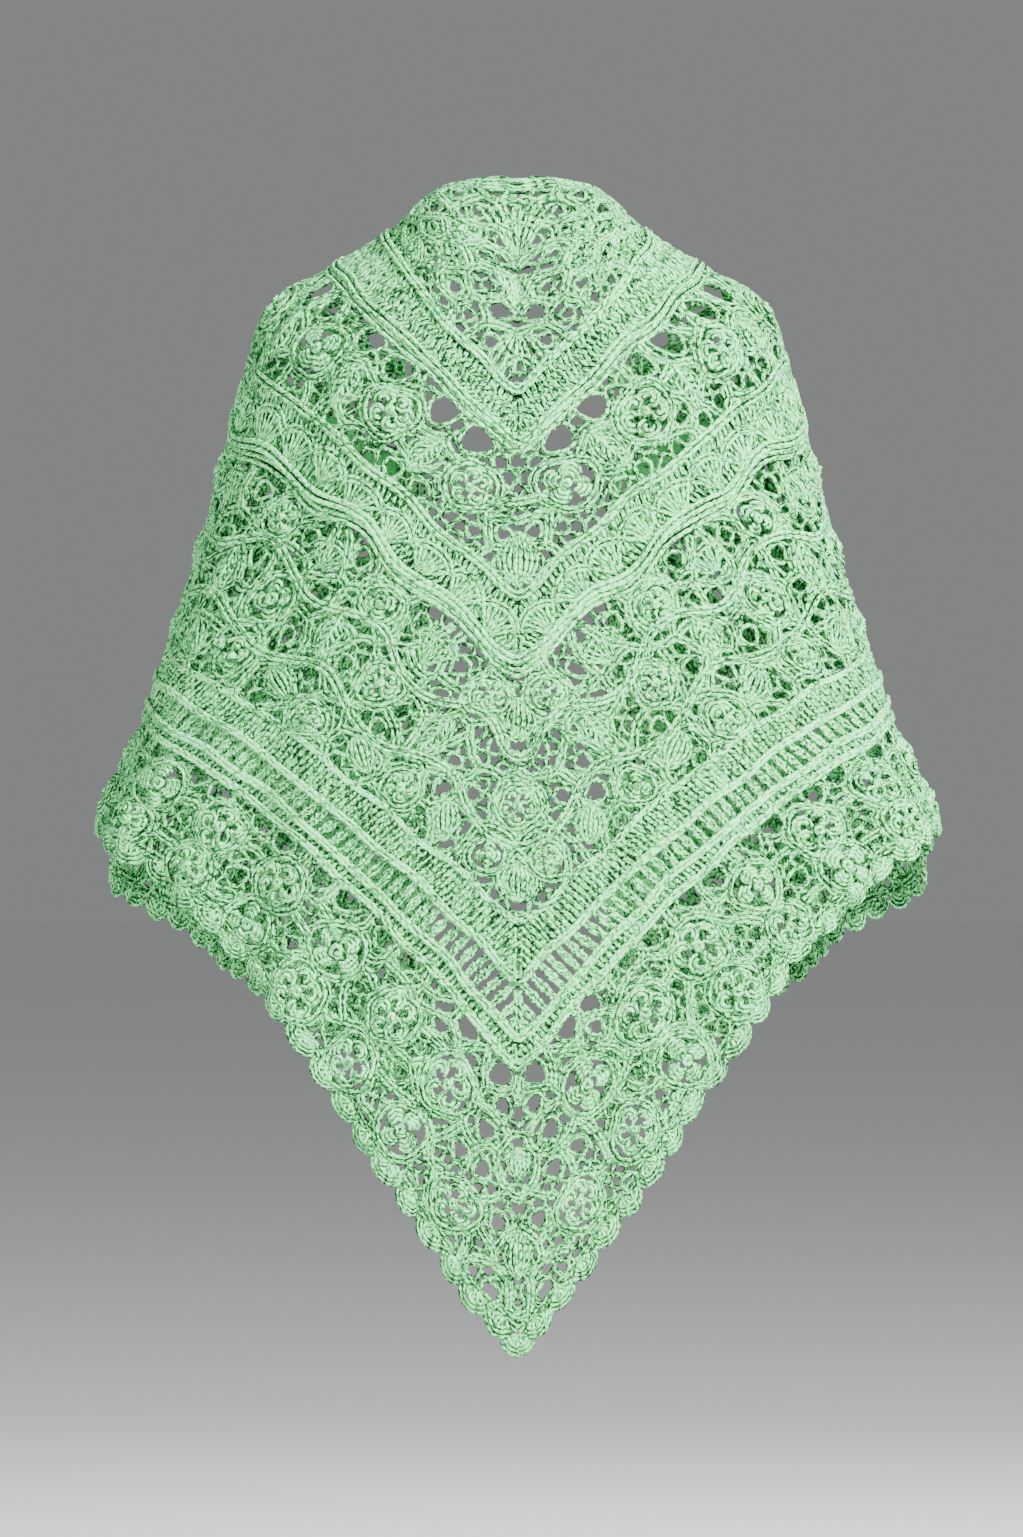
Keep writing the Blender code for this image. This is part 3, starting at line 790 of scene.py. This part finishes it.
# %% Grow the lace of a band
class Lace:
    """The net of a band between two depths. bottom may be a function of the share.

    Cords end at motifs and eyelets, which are circles given by x, y and radius. The fine net ends at the
    eyelets too, but runs on under the motifs, except for the circles in closed.
    """

    def __init__(self, top, bottom):
        self.top = top
        self.bottom = bottom if callable(bottom) else lambda share: bottom + 0 * share
        self.deepest = float(self.bottom(np.linspace(0, 1, 200)).max())
        self.planes = [(-1, -1, -top), (-1, 0, 0), (0, -1, -EDGING + 0.002)]
        if not callable(bottom):
            self.planes.append((1, 1, bottom))
        self.motifs, self.eyelets, self.closed = [], [], []

    def inside(self, points, slack):
        """Which points are in the band, or out of it by less than the slack."""
        depth = points.sum(axis=1)
        floor = self.bottom(np.clip(points[:, 0] / depth, 0, 1))
        return (
            (depth > self.top - slack) & (depth < floor + slack)
            & (points[:, 0] > -slack) & (points[:, 1] > EDGING - slack)
        )

    def scatter_eyelets(self, spacing, low, high, tries=6000):
        """Adds eyelets at random, at least a spacing apart and off the motifs."""
        taken = [(x, y, r + 0.001) for x, y, r in self.motifs]
        taken += [(x, y, r + 0.003) for x, y, r in self.eyelets]
        for x, y in RANDOM.uniform((0, 0), (self.deepest, self.deepest), (tries, 2)):
            size = RANDOM.uniform(low, high)
            if not self.inside(np.array([[x, y]]), -size - 0.004)[0]:
                continue
            if all(math.hypot(x - a, y - b) > r + size + 0.002 for a, b, r in taken):
                self.eyelets.append((x, y, size))
                taken.append((x, y, size + spacing / 2))

    def edges(self, points, longest, discs):
        """The edges of the cells round the points, in the band and outside the discs."""
        where = np.array([d[:2] for d in discs]).reshape(-1, 2)
        for start, end in cell_edges(points):
            if not 0.0009 < math.dist(start, end) < longest:
                continue
            near = np.flatnonzero(np.abs(where - (start + end) / 2).max(axis=1) < 0.06)
            kept = clipped(start, end, self.planes, [discs[k] for k in near])
            if kept is None:
                continue
            a, b = kept
            depths = np.array([a.sum(), b.sum()])
            shares = np.clip(np.array([a[0], b[0]]) / depths, 0, 1)
            if (depths <= self.bottom(shares) + 1e-6).all():
                yield a, b

    def work(self, fine_net, cord_net, pitch, cord_pitch, height=0.0030):
        """Adds the fine net, the rims of the eyelets and the wandering cords, in both halves.

        The halves meet on the spine. Away from it their points stray from each other, as in hand work.
        """
        before = len(fine_net.strands), len(cord_net.strands)
        box = (-pitch, self.deepest, EDGING - pitch, self.deepest + pitch)
        points = strewn(lambda p: self.inside(p, 1.5 * pitch), box, pitch)
        box = (-cord_pitch, self.deepest, EDGING - cord_pitch, self.deepest + cord_pitch)
        extra = strewn(lambda p: self.inside(p, 0.5 * cord_pitch), box, cord_pitch, 0.34)
        lone = np.array([d[:2] for d in self.motifs + self.eyelets]).reshape(-1, 2)
        extra = extra[[bool(np.all(np.hypot(*(lone - p).T) > 0.75 * cord_pitch)) for p in extra]]
        for half in (1, -1):
            self.add_net(fine_net, points, pitch, height, half)
            self.add_rims(cord_net, half)
            self.add_wandering(cord_net, np.vstack([extra, lone]), cord_pitch, half)
            points = points + self.stray(points, 0.30 * pitch)
            extra = extra + self.stray(extra, 0.25 * cord_pitch)
        return len(fine_net.strands) - before[0], len(cord_net.strands) - before[1]

    def stray(self, points, most):
        """Random steps for points, which fade out towards the spine."""
        return RANDOM.uniform(-most, most, points.shape) * np.clip((points[:, :1] - 0.018) / 0.03, 0, 1)

    def add_net(self, skein, points, pitch, height, half):
        """Short stitches, thinner in the middle."""
        for a, b in self.edges(points, 3 * pitch, self.eyelets + self.closed):
            bent = (a + b) / 2 + RANDOM.uniform(-0.0006, 0.0006, 2)
            tall = height + RANDOM.uniform(-0.0007, 0.0009)
            skein.add(np.array([a, bent, b]) * (half, 1), tall, (1.22, 0.86, 1.22), both=False)

    def add_rims(self, skein, half):
        """A rim round each eyelet, flat on the side of the row above, as a first row of chain loops is."""
        angle = np.linspace(0, 2 * math.pi, 14)
        for x, y, radius in self.eyelets:
            flat_side = math.radians(225) + RANDOM.uniform(-0.4, 0.4)
            rim = polar((x, y), (radius + 0.0012) * (1 - 0.12 * np.cos(3 * (angle - flat_side))), angle)
            rim[:, 0] = np.maximum(rim[:, 0], 0.0)
            skein.add(rim * (half, 1), 0.0042, both=False)

    def add_wandering(self, skein, points, pitch, half):
        """Double cords that bow a little, between motifs, eyelets and free places."""
        discs = [(x, y, r - 0.002) for x, y, r in self.motifs] + self.eyelets
        for a, b in self.edges(points, 4 * pitch, discs):
            size = math.dist(a, b)
            side = np.array([-(b - a)[1], (b - a)[0]]) / size
            t = np.linspace(0, 1, max(int(size / 0.006) + 1, 3))[:, None]
            line = a + t * (b - a) + RANDOM.uniform(-0.13, 0.13) * size * np.sin(math.pi * t) * side
            line[:, 0] = np.maximum(line[:, 0], 0.0)
            add_cord(skein, line * (half, 1), 0.0039, 0.0050, step=None, thick=RANDOM.uniform(0.94, 1.10))


# %% [markdown]
# ## Ground sheets
# The dense bands are so closely worked that nothing shows through them. Under their stitches lies a thin
# sheet of cloth, the ground, whose outer face is painted dark: painted shade between the stitches. It
# starts as a flat grid whose rows follow the band's depths, is draped, and gets its thickness from a
# Solidify modifier, which can also give the faces that it adds inside the next material: no stitches stand
# on them, so they carry no painted shade and are as pale as the yarn.

# %% Make a ground sheet
grounds = {}


def ground(name, start, end, height, columns=110, rows=3):
    """A draped strip of cloth between two depths, kept with the size it would be cut to."""
    bm = bmesh.new()
    bmesh.ops.create_grid(bm, x_segments=2 * columns, y_segments=rows, size=1.0)
    for vert in bm.verts:
        depth = start + (end - start) * (1 - vert.co.y) / 2
        x = abs(vert.co.x) * (depth - EDGING)
        vert.co = (math.copysign(x, vert.co.x), depth - x, height)
    flat = np.array([v.co[:] for v in bm.verts])
    for vert, place in zip(bm.verts, drape(wavered(flat))[0]):
        vert.co = place
    middle = min(bm.faces, key=lambda f: abs(f.calc_center_median().x))
    middle.normal_update()
    if middle.normal.y > 0:
        bmesh.ops.reverse_faces(bm, faces=bm.faces)
    mesh = bpy.data.meshes.new(name)
    bm.to_mesh(mesh)
    bm.free()
    mesh.shade_smooth()
    # the outer faces in painted shade, the inner faces that the modifier adds in the yarn's paler colour
    mesh.materials.append(mint_ground_in_painted_shade)
    mesh.materials.append(mint_inside)
    piece = placed(name, mesh)
    wall = piece.modifiers.new("thickness", "SOLIDIFY")
    wall.thickness = 0.0013
    wall.offset = 1.0
    wall.material_offset = 1
    cut = ((end - start) / ROOT2, (start + end - 2 * EDGING) * ROOT2)
    grounds[name] = piece, cut
    print(f"{name}: cut {cut[0] * 1000:.0f} x {cut[1] * 1000:.0f} mm")


# %% [markdown]
# ## The bands, from the nape down
# First come the cords that divide the shawl, since the stitches of every band end on them. Each is a pair
# of strands, so it shows the groove of a chain-stitch cord. The broad one under the fans is worked freehand
# and wanders, as the real one does.

# %% Dividing cords
ridges = Skein("dividing_cords", 0.0022)
for depth, width, height in (       # width is from strand to strand
    (0.199, 0.0042, 0.0066),
    (0.243, 0.0042, 0.0064),
    (0.251, 0.0040, 0.0050),
    (0.372, 0.0040, 0.0058),
    (0.6375, 0.0020, 0.0052),
    (0.683, 0.0040, 0.0074),
    (0.732, 0.0044, 0.0074),
    (0.756, 0.0040, 0.0062),
):
    add_cord(ridges, vee(depth, 0.0013, 0.09, depth * 40), width, height)
add_cord(ridges, vee(0.424, 0.0042, 0.105, 0.6), 0.0044, 0.0076, thick=1.1)
add_cord(ridges, vee(0.434, 0.0042, 0.105, 0.6), 0.0042, 0.0060)
print("dividing cords:", len(ridges.strands))

# %% [markdown]
# The edge round the neck and down both fronts is rolled: four strands lie in it, the second one highest.

# %% Neck edging
edging = Skein("neck_edge_cords", 0.0027)
for y, height in ((0.0022, 0.0030), (0.0062, 0.0052), (0.0106, 0.0040), (0.0140, 0.0030)):
    x = np.linspace(0, SIDE_LENGTH - y - 0.004, 260)
    right = np.column_stack([x, np.full(len(x), y)])
    edging.add(np.vstack([right[:0:-1] * (-1, 1), right]), height, step=0.0065, both=False)
print("edging strands:", len(edging.strands))

# %% [markdown]
# ## Dense bands
# Posts, which are the tall stitches of crochet, stand side by side between the cords of the yoke, of the
# fan band and of the two rails. Each row leans the other way than the row before it, which gives the
# herringbone look. A chain runs down the mitre on the spine, where the posts of both halves end.

# %% Posts of the dense bands
posts = Skein("band_posts", 0.0025, 4)
count = 0
for row in range(4):
    side = 1 if row % 2 else -1
    count += add_posts(posts, 0.2025 + 0.0098 * row, 0.2135 + 0.0098 * row, 0.0048, 0.0038, 0.0014 * side)
    count += add_posts(posts, 0.3745 + 0.0122 * row, 0.3880 + 0.0122 * row, 0.0050, 0.0038, 0.0014 * side)
for start, end in ((0.6395, 0.6605), (0.6600, 0.6810), (0.7345, 0.7555)):
    count += add_posts(posts, start, end, 0.0051, 0.0040, 0.0005, 1.18, 0.0003)
for start, end in ((0.2035, 0.2400), (0.3760, 0.4200), (0.6410, 0.6790), (0.7360, 0.7540)):
    mitre = np.column_stack([np.zeros(12), np.linspace(start, end, 12)])
    add_cord(posts, mitre, 0.0044, 0.0036, step=None)
print("posts in each half:", count)
ground("yoke_ground", TOP_END, YOKE_END - 0.001, 0.0022, columns=70)
ground("fan_ground", 0.368, 0.431, 0.0020, columns=90, rows=4)
ground("rail_ground", 0.636, 0.685, 0.0030, columns=130)
ground("lower_rail_ground", 0.730, 0.757, 0.0028, columns=130, rows=2)

# %% [markdown]
# The ladder is a row of stout bars with narrow gaps: each bar is two fat strands, side by side, and one bar
# stands on the spine itself.

# %% Ladder bars
bars = Skein("ladder_bars", 0.0020)
reach = 0.731 / ROOT2
ways = np.arange(-reach + 0.004, reach - EDGING * ROOT2, 0.0106)
for way in ways + RANDOM.uniform(-0.0009, 0.0009, len(ways)):
    lowest = max(0.684 / ROOT2, abs(way), way + EDGING * ROOT2)
    if reach - lowest > 0.008:
        slant = RANDOM.uniform(-0.0010, 0.0016) * np.linspace(-1, 1, 5)
        for side in (-0.0017, 0.0017):
            apart = side * np.array([1, 0.8, 1.25, 0.8, 1])
            line = on_band(np.linspace(lowest, reach, 5) * ROOT2, way + apart + slant)
            line[:, 0] = np.maximum(line[:, 0], 0)
            bars.add(line, 0.0046, np.array([0.9, 0.95, 1.25, 0.95, 0.9]) * RANDOM.uniform(0.94, 1.06))
on_spine = np.column_stack([np.zeros(5), np.linspace(0.6865, 0.7285, 5)])
add_cord(bars, on_spine, STRAND_PITCH, 0.0046, step=None, thick=1.1)
print("bar strands:", len(bars.strands))

# %% [markdown]
# ## Lace of the nape
# A small triangle: three fans stand one above the other on the spine, with florets and eyelets beside them.

# %% Lace of the nape
cords = Skein("motif_cords", 0.0022, 4)
fine = Skein("motif_stitches", 0.0021, 4)
upper_net = Skein("upper_net", 0.0026, 4)
net_cords = Skein("wandering_cords", 0.0022, 4)
DOWN, UP = math.radians(90), math.radians(-90)      # directions in the flat cloth
TO_HEM, TO_NECK = math.radians(45), math.radians(225)

nape = Lace(0.015, 0.196)
FLORETS = (                 # depth, way, radius
    (0.092, -0.020, 0.013),
    (0.128, 0.034, 0.014),
    (0.132, -0.028, 0.013),
    (0.170, 0.004, 0.014),
)
for depth, way, radius in FLORETS:
    centre = on_band(depth, way)[0]
    add_floret(fine, centre, radius, depth * 50)
    nape.motifs.append((*centre, radius))
for y, way, size, spread in ((0.080, UP, 0.052, 0.42), (0.124, UP, 0.034, 0.50), (0.142, DOWN, 0.042, 0.75)):
    add_fan(fine, (0.0, y), way, size, spread, rim=False, both=False, height=0.0046)
NAPE_EYELETS = (            # depth, way, radius
    (0.092, 0.012, 0.0078),
    (0.141, -0.0825, 0.0080),
    (0.160, -0.046, 0.0056),
    (0.165, 0.052, 0.0065),
)
for depth, way, radius in NAPE_EYELETS:
    nape.eyelets.append((*on_band(depth, way)[0], radius))
nape.scatter_eyelets(0.018, 0.0040, 0.0055)
print("nape, fine strands and cords:", nape.work(upper_net, net_cords, 0.0112, 0.025))

# %% [markdown]
# ## The rose lace of the shoulders
# Roses about 50 mm across stand in a row, one every 80 mm, with a leaf between each two. Over each leaf,
# two large eyelets hang side by side from the yoke's lower cord.

# %% Rose lace
ROSE_PITCH = 0.0795
ROSE_RADIUS = 0.0262
shoulders = Lace(0.253, 0.370)
for k, way in enumerate(np.arange(-0.172 - ROSE_PITCH, 0.20, ROSE_PITCH)):
    for aside in (0.0232, 0.0563):
        if abs(way + aside) < 0.170:
            shoulders.eyelets.append((*on_band(0.2700, way + aside)[0], RANDOM.uniform(0.0100, 0.0114)))
    if k == 0:
        continue            # the first place is past the spine, and only its eyelets are in this half
    centre = on_band(0.313, way)[0]
    add_pair(cords, fine, centre, ROSE_RADIUS, 0.7 * k, (0.94, 1.04), k + 1)
    shoulders.motifs.append((*centre, ROSE_RADIUS))
    shoulders.closed.append((*centre, 0.0190))
    add_leaf(cords, fine, on_band(0.292, way + 0.0400)[0], TO_HEM, 0.040, 0.023)
    shoulders.motifs.append((*on_band(0.320, way + 0.0400)[0], 0.0125))
add_bud(cords, (0.0, 0.312), DOWN, 0.048, 0.030, ribs=8, both=False)
shoulders.scatter_eyelets(0.014, 0.0050, 0.0070)
print("shoulders, fine strands and cords:", shoulders.work(upper_net, net_cords, 0.0124, 0.028))

# %% [markdown]
# ## The fan band
# On the ground of the fan band stand broad fans, side by side, with their roots on the lower cord.

# %% Fans
for way in np.arange(-0.262, 0.28, 0.0365):
    root = on_band(0.424, way)[0]
    if root[0] > 0.004:
        add_fan(fine, root, TO_NECK, 0.0270, spread=0.75, height=0.0056)
print("stitches of the motifs so far:", len(fine.strands))

# %% [markdown]
# ## The flower lace
# The widest band. Two stems wander along it, and roses, fans, leaves and buds sit on both sides of them.

# %% Flower lace
OPEN_RIM = 0.007            # how far the fine net runs in under the edge of a rose
flower_net = Skein("flower_net", 0.0026, 4)
flowers = Lace(0.437, 0.636)
for depth, wave, wave_length, phase in ((0.505, 0.0095, 0.118, 2.2), (0.575, 0.0085, 0.131, 0.4)):
    add_cord(cords, vee(depth, wave, wave_length, phase), 0.0040, 0.0060, step=0.006)
layout = (                  # depth, first way, spacing, radius, what
    (0.470, -0.300, 0.1180, 0.0215, "rose"),
    (0.472, -0.241, 0.1180, 0.0150, "fan"),
    (0.540, -0.352, 0.1240, 0.0235, "rose"),
    (0.538, -0.290, 0.1240, 0.0155, "leaf"),
    (0.607, -0.392, 0.0940, 0.0205, "rose"),
    (0.608, -0.345, 0.0940, 0.0135, "bud"),
)
for row, (depth, first, spacing, radius, what) in enumerate(layout):
    for k, way in enumerate(np.arange(first, depth / ROOT2 - 0.03, spacing)):
        centre = on_band(depth + 0.004 * math.sin(2.1 * k + row), way)[0]
        if centre[0] < radius + 0.001 or centre[1] < EDGING + radius:
            continue
        if what == "rose":
            add_pair(cords, fine, centre, radius, 1.1 * k + row, (0.94, 1.04), k + row)
            flowers.closed.append((*centre, radius - OPEN_RIM))
        elif what == "bud":
            add_bud(fine, centre - (0.0, 0.018), DOWN + math.radians(25 * math.sin(k)), 0.036, 0.024)
        elif what == "fan":
            add_fan(fine, centre + (0.010, 0.010), TO_NECK, 0.028, spread=0.72)
        else:
            turn = math.radians(12 * math.sin(k))
            add_leaf(cords, fine, centre - (0.013, 0.013), TO_HEM + turn, 0.038, 0.023)
        flowers.motifs.append((*centre, radius))
for depth in (0.467, 0.600):
    add_bud(fine, (0.0, depth - 0.018), DOWN, 0.036, 0.026, both=False)
    flowers.motifs.append((0.0, depth, 0.0125))
add_rose(cords, fine, (0.0, 0.538), 0.0240, turn=0.4, both=False)
flowers.motifs.append((0.0, 0.538, 0.0240))
flowers.closed.append((0.0, 0.538, 0.0170))
flowers.scatter_eyelets(0.016, 0.0055, 0.0085)
print("flower lace, fine strands and cords:", flowers.work(flower_net, net_cords, 0.0128, 0.030))

# %% [markdown]
# ## The border
# Two rows of the largest roses, staggered. Against the ladder, two wide eyelets lie side by side between
# each two roses. The border grows deeper towards the spine, so rows are placed by their share of its depth.

# %% Border roses
border_net = Skein("border_net", 0.0026, 4)
border_cords = Skein("border_cords", 0.0022, 4)
border = Lace(0.757, lambda share: hem_depth(share) - 0.016)


def border_place(part, way):
    """A place in the border by its part of the border's depth, for a way along the band."""
    depth = LADDER_END + 0.05
    for _ in range(6):
        x = on_band(depth, way)[0][0]
        depth = LADDER_END + part * (float(hem_depth(min(max(x / depth, 0), 1))) - LADDER_END)
    return on_band(depth, way)[0]


BORDER_PITCH = 0.072
for row, (part, first, radius) in enumerate(((0.335, -0.502, 0.0298), (0.705, -0.574, 0.0284))):
    for k, way in enumerate(np.arange(first, 0.60, BORDER_PITCH)):
        centre = border_place(part, way)
        if centre[0] < radius * 0.9 or centre[1] < EDGING + radius:
            continue
        add_pair(cords, fine, centre, radius, 0.9 * k + row, (0.93, 1.03), k + row + 2)
        border.motifs.append((*centre, radius))
        border.closed.append((*centre, radius - OPEN_RIM))
for middle in np.arange(-0.466 - BORDER_PITCH, 0.50, BORDER_PITCH):
    for way in (middle - 0.0132, middle + 0.0132):
        if abs(way) < 0.525:
            border.eyelets.append((*on_band(0.7735, way)[0], RANDOM.uniform(0.0095, 0.0108)))
for part, radius in ((0.30, 0.014), (0.62, 0.018)):
    y = LADDER_END + part * (float(hem_depth(0)) - LADDER_END)
    add_bud(cords, (0.0, y - radius), DOWN, 2.2 * radius, 1.4 * radius, ribs=6, both=False)
    border.motifs.append((0.0, y, radius * 0.8))
border.scatter_eyelets(0.012, 0.0055, 0.0090)
print("border, fine strands and cords:", border.work(border_net, border_cords, 0.0130, 0.031))

# %% [markdown]
# ## The shell edging
# The hem is a row of small shells, each a fan of five stitches under three round strands. They follow the
# hem's own line, which bends, so their roots and directions come from it.

# %% Shells
SHELL_PITCH = 0.0315
SHELL_ROOT = 0.0200         # how far inside the hem a shell is rooted
SHELL_ROUNDS = ((0.0176, 0.0040), (0.0139, 0.0050), (0.0102, 0.0062))    # radius, height

shells = Skein("hem_shells", 0.0021, 4)
x = np.linspace(0, 1, 500)
hem_line = np.column_stack([x * hem_depth(x), (1 - x) * hem_depth(x)])
hem_line = hem_line[hem_line[:, 1] > 0.006]
hem_end = lengths(hem_line)[-1]
count = int(hem_end / SHELL_PITCH)
pitch = hem_end / count
for k in range(count + 1):
    at = min(k * pitch, hem_end)
    here = at_lengths(hem_line, np.array([at - 0.004, at, at + 0.004]))
    along = here[2] - here[0]
    outward = math.atan2(along[1], along[0]) + DOWN if k else DOWN
    root = here[1] - SHELL_ROOT * np.array([math.cos(outward), math.sin(outward)])
    size = RANDOM.uniform(0.92, 1.05)
    add_fan(shells, root, outward, 0.0108 * size, spread=1.0, ribs=5, rim=False, both=k > 0, height=0.0052)
    for radius, height in SHELL_ROUNDS:
        shells.add(polar(root, radius * size, outward + np.linspace(-1.15, 1.15, 9)), height, both=k > 0)
inner_line = hem_line - (0.0135, 0.0135)
inner_line = inner_line[(inner_line[:, 0] > 0) & (inner_line[:, 1] > EDGING)]
add_cord(shells, inner_line, 0.0040, 0.0036, both=True)
print("shells in each half:", count)

# %% [markdown]
# ## From skeins to pieces
# Each skein becomes one mesh, with the cotton finish, and rides on the frame's one body. Seven of the
# pieces stand for the plain solids of the bands, which are hidden.

# %% Make the pieces
pieces = {}
for skein, material, slot in (
    (ridges, mint_cord, "yoke_band"),
    (edging, mint_cord, "neck_edging"),
    (posts, mint_cord, "fan_band"),
    (bars, mint_cord, "ladder_band"),
    (cords, mint_cord, "rose_lace"),
    (fine, mint_cord, "rose_lace"),
    (net_cords, mint_cord, "flower_lace"),
    (border_cords, mint_cord, "border_lace"),
    (shells, mint_cord, "scallop_edging"),
    (upper_net, mint_net_in_painted_shade, "top_lace"),
    (flower_net, mint_net_in_painted_shade, "flower_lace"),
    (border_net, mint_net_in_painted_shade, "border_lace"),
):
    piece = pieces[skein.name] = skein.made(material)
    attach(piece, "root")
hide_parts("neck_edging")
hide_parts("top_lace", "rose_lace")
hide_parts("yoke_band", "fan_band")
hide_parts("flower_lace")
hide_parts("ladder_band")
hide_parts("border_lace")
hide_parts("scallop_edging")

# %% [markdown]
# The grounds are sheets of cloth, so each keeps the size that it is cut to, as a straight strip before it
# is folded round the spine. Each rides on the frame's one body; the table also lists its band's slot and the
# pieces worked on it, which are not used.

for name, slot, *worked_on_it in (
    ("yoke_ground", "yoke_band", "dividing_cords", "upper_net", "band_posts"),
    ("fan_ground", "fan_band", "motif_cords", "motif_stitches", "wandering_cords"),
    ("rail_ground", "ladder_band", "flower_net", "ladder_bars"),
    ("lower_rail_ground", "ladder_band", "border_net", "border_cords", "hem_shells"),
):
    piece, cut = grounds[name]
    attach(piece, "root")
print("pieces:", len(pieces) + len(grounds))

# %% [markdown]
# ## Floor, light and camera
# A plain pale floor lies well below the shawl. One large soft lamp stands high on the right, a weaker one
# on the left, and a third lights the side that the camera doesn't see. The camera stands level with the
# middle of the shawl, far off with a long lens, as for a catalogue picture.

# %% Floor
FLOOR_Z = -1.45
bm = bmesh.new()
bmesh.ops.create_grid(bm, x_segments=1, y_segments=1, size=40.0)
bmesh.ops.translate(bm, verts=bm.verts, vec=(0, 0, FLOOR_Z))
floor_mesh = bpy.data.meshes.new("floor")
bm.to_mesh(floor_mesh)
bm.free()
paper, paper_surface = bare_material("matt white paper", 0.9)
paper_surface.inputs["Base Color"].default_value = linear("#f8f9f8")
floor_mesh.materials.append(paper)
floor = placed("floor", floor_mesh)

# %% Light
MIDDLE = (0, 0, -0.45)      # of the shawl


def soft_lamp(name, place, size, power):
    """A square lamp that shines on the middle of the shawl."""
    light = bpy.data.lights.new(name, "AREA")
    light.size = size
    light.energy = power
    lamp = placed(name, light)
    lamp.location = place
    lamp.rotation_mode = "QUATERNION"
    lamp.rotation_quaternion = Vector(np.subtract(MIDDLE, place)).to_track_quat("-Z", "Y")


soft_lamp("key", (2.5, -2.6, 2.0), 0.8, 940)
soft_lamp("fill", (-2.4, -3.0, 0.4), 2.2, 150)
soft_lamp("front side", (0.6, 3.2, 1.4), 2.0, 80)

world = bpy.data.worlds.new("studio")
bpy.context.scene.world = world
world.use_nodes = True
sky = world.node_tree.nodes["Background"].inputs
sky["Color"].default_value = linear("#e4e8e6")
sky["Strength"].default_value = 0.30
print("lamps:", len(bpy.data.lights))

# %% Camera
TO_BACK = 5.86              # metres from the camera to the back of the shawl
VIEW_HEIGHT = 1.2603        # metres of height that the picture takes in there
lens = bpy.data.cameras.new("camera")
lens.lens = 36 * TO_BACK / VIEW_HEIGHT
lens.clip_end = 200
camera = placed("camera", lens)
camera.location = (-0.0053, -6.0, -0.454)
camera.rotation_euler = (math.pi / 2, 0, 0)
bpy.context.scene.camera = camera
print(f"lens: {lens.lens:.0f} mm")
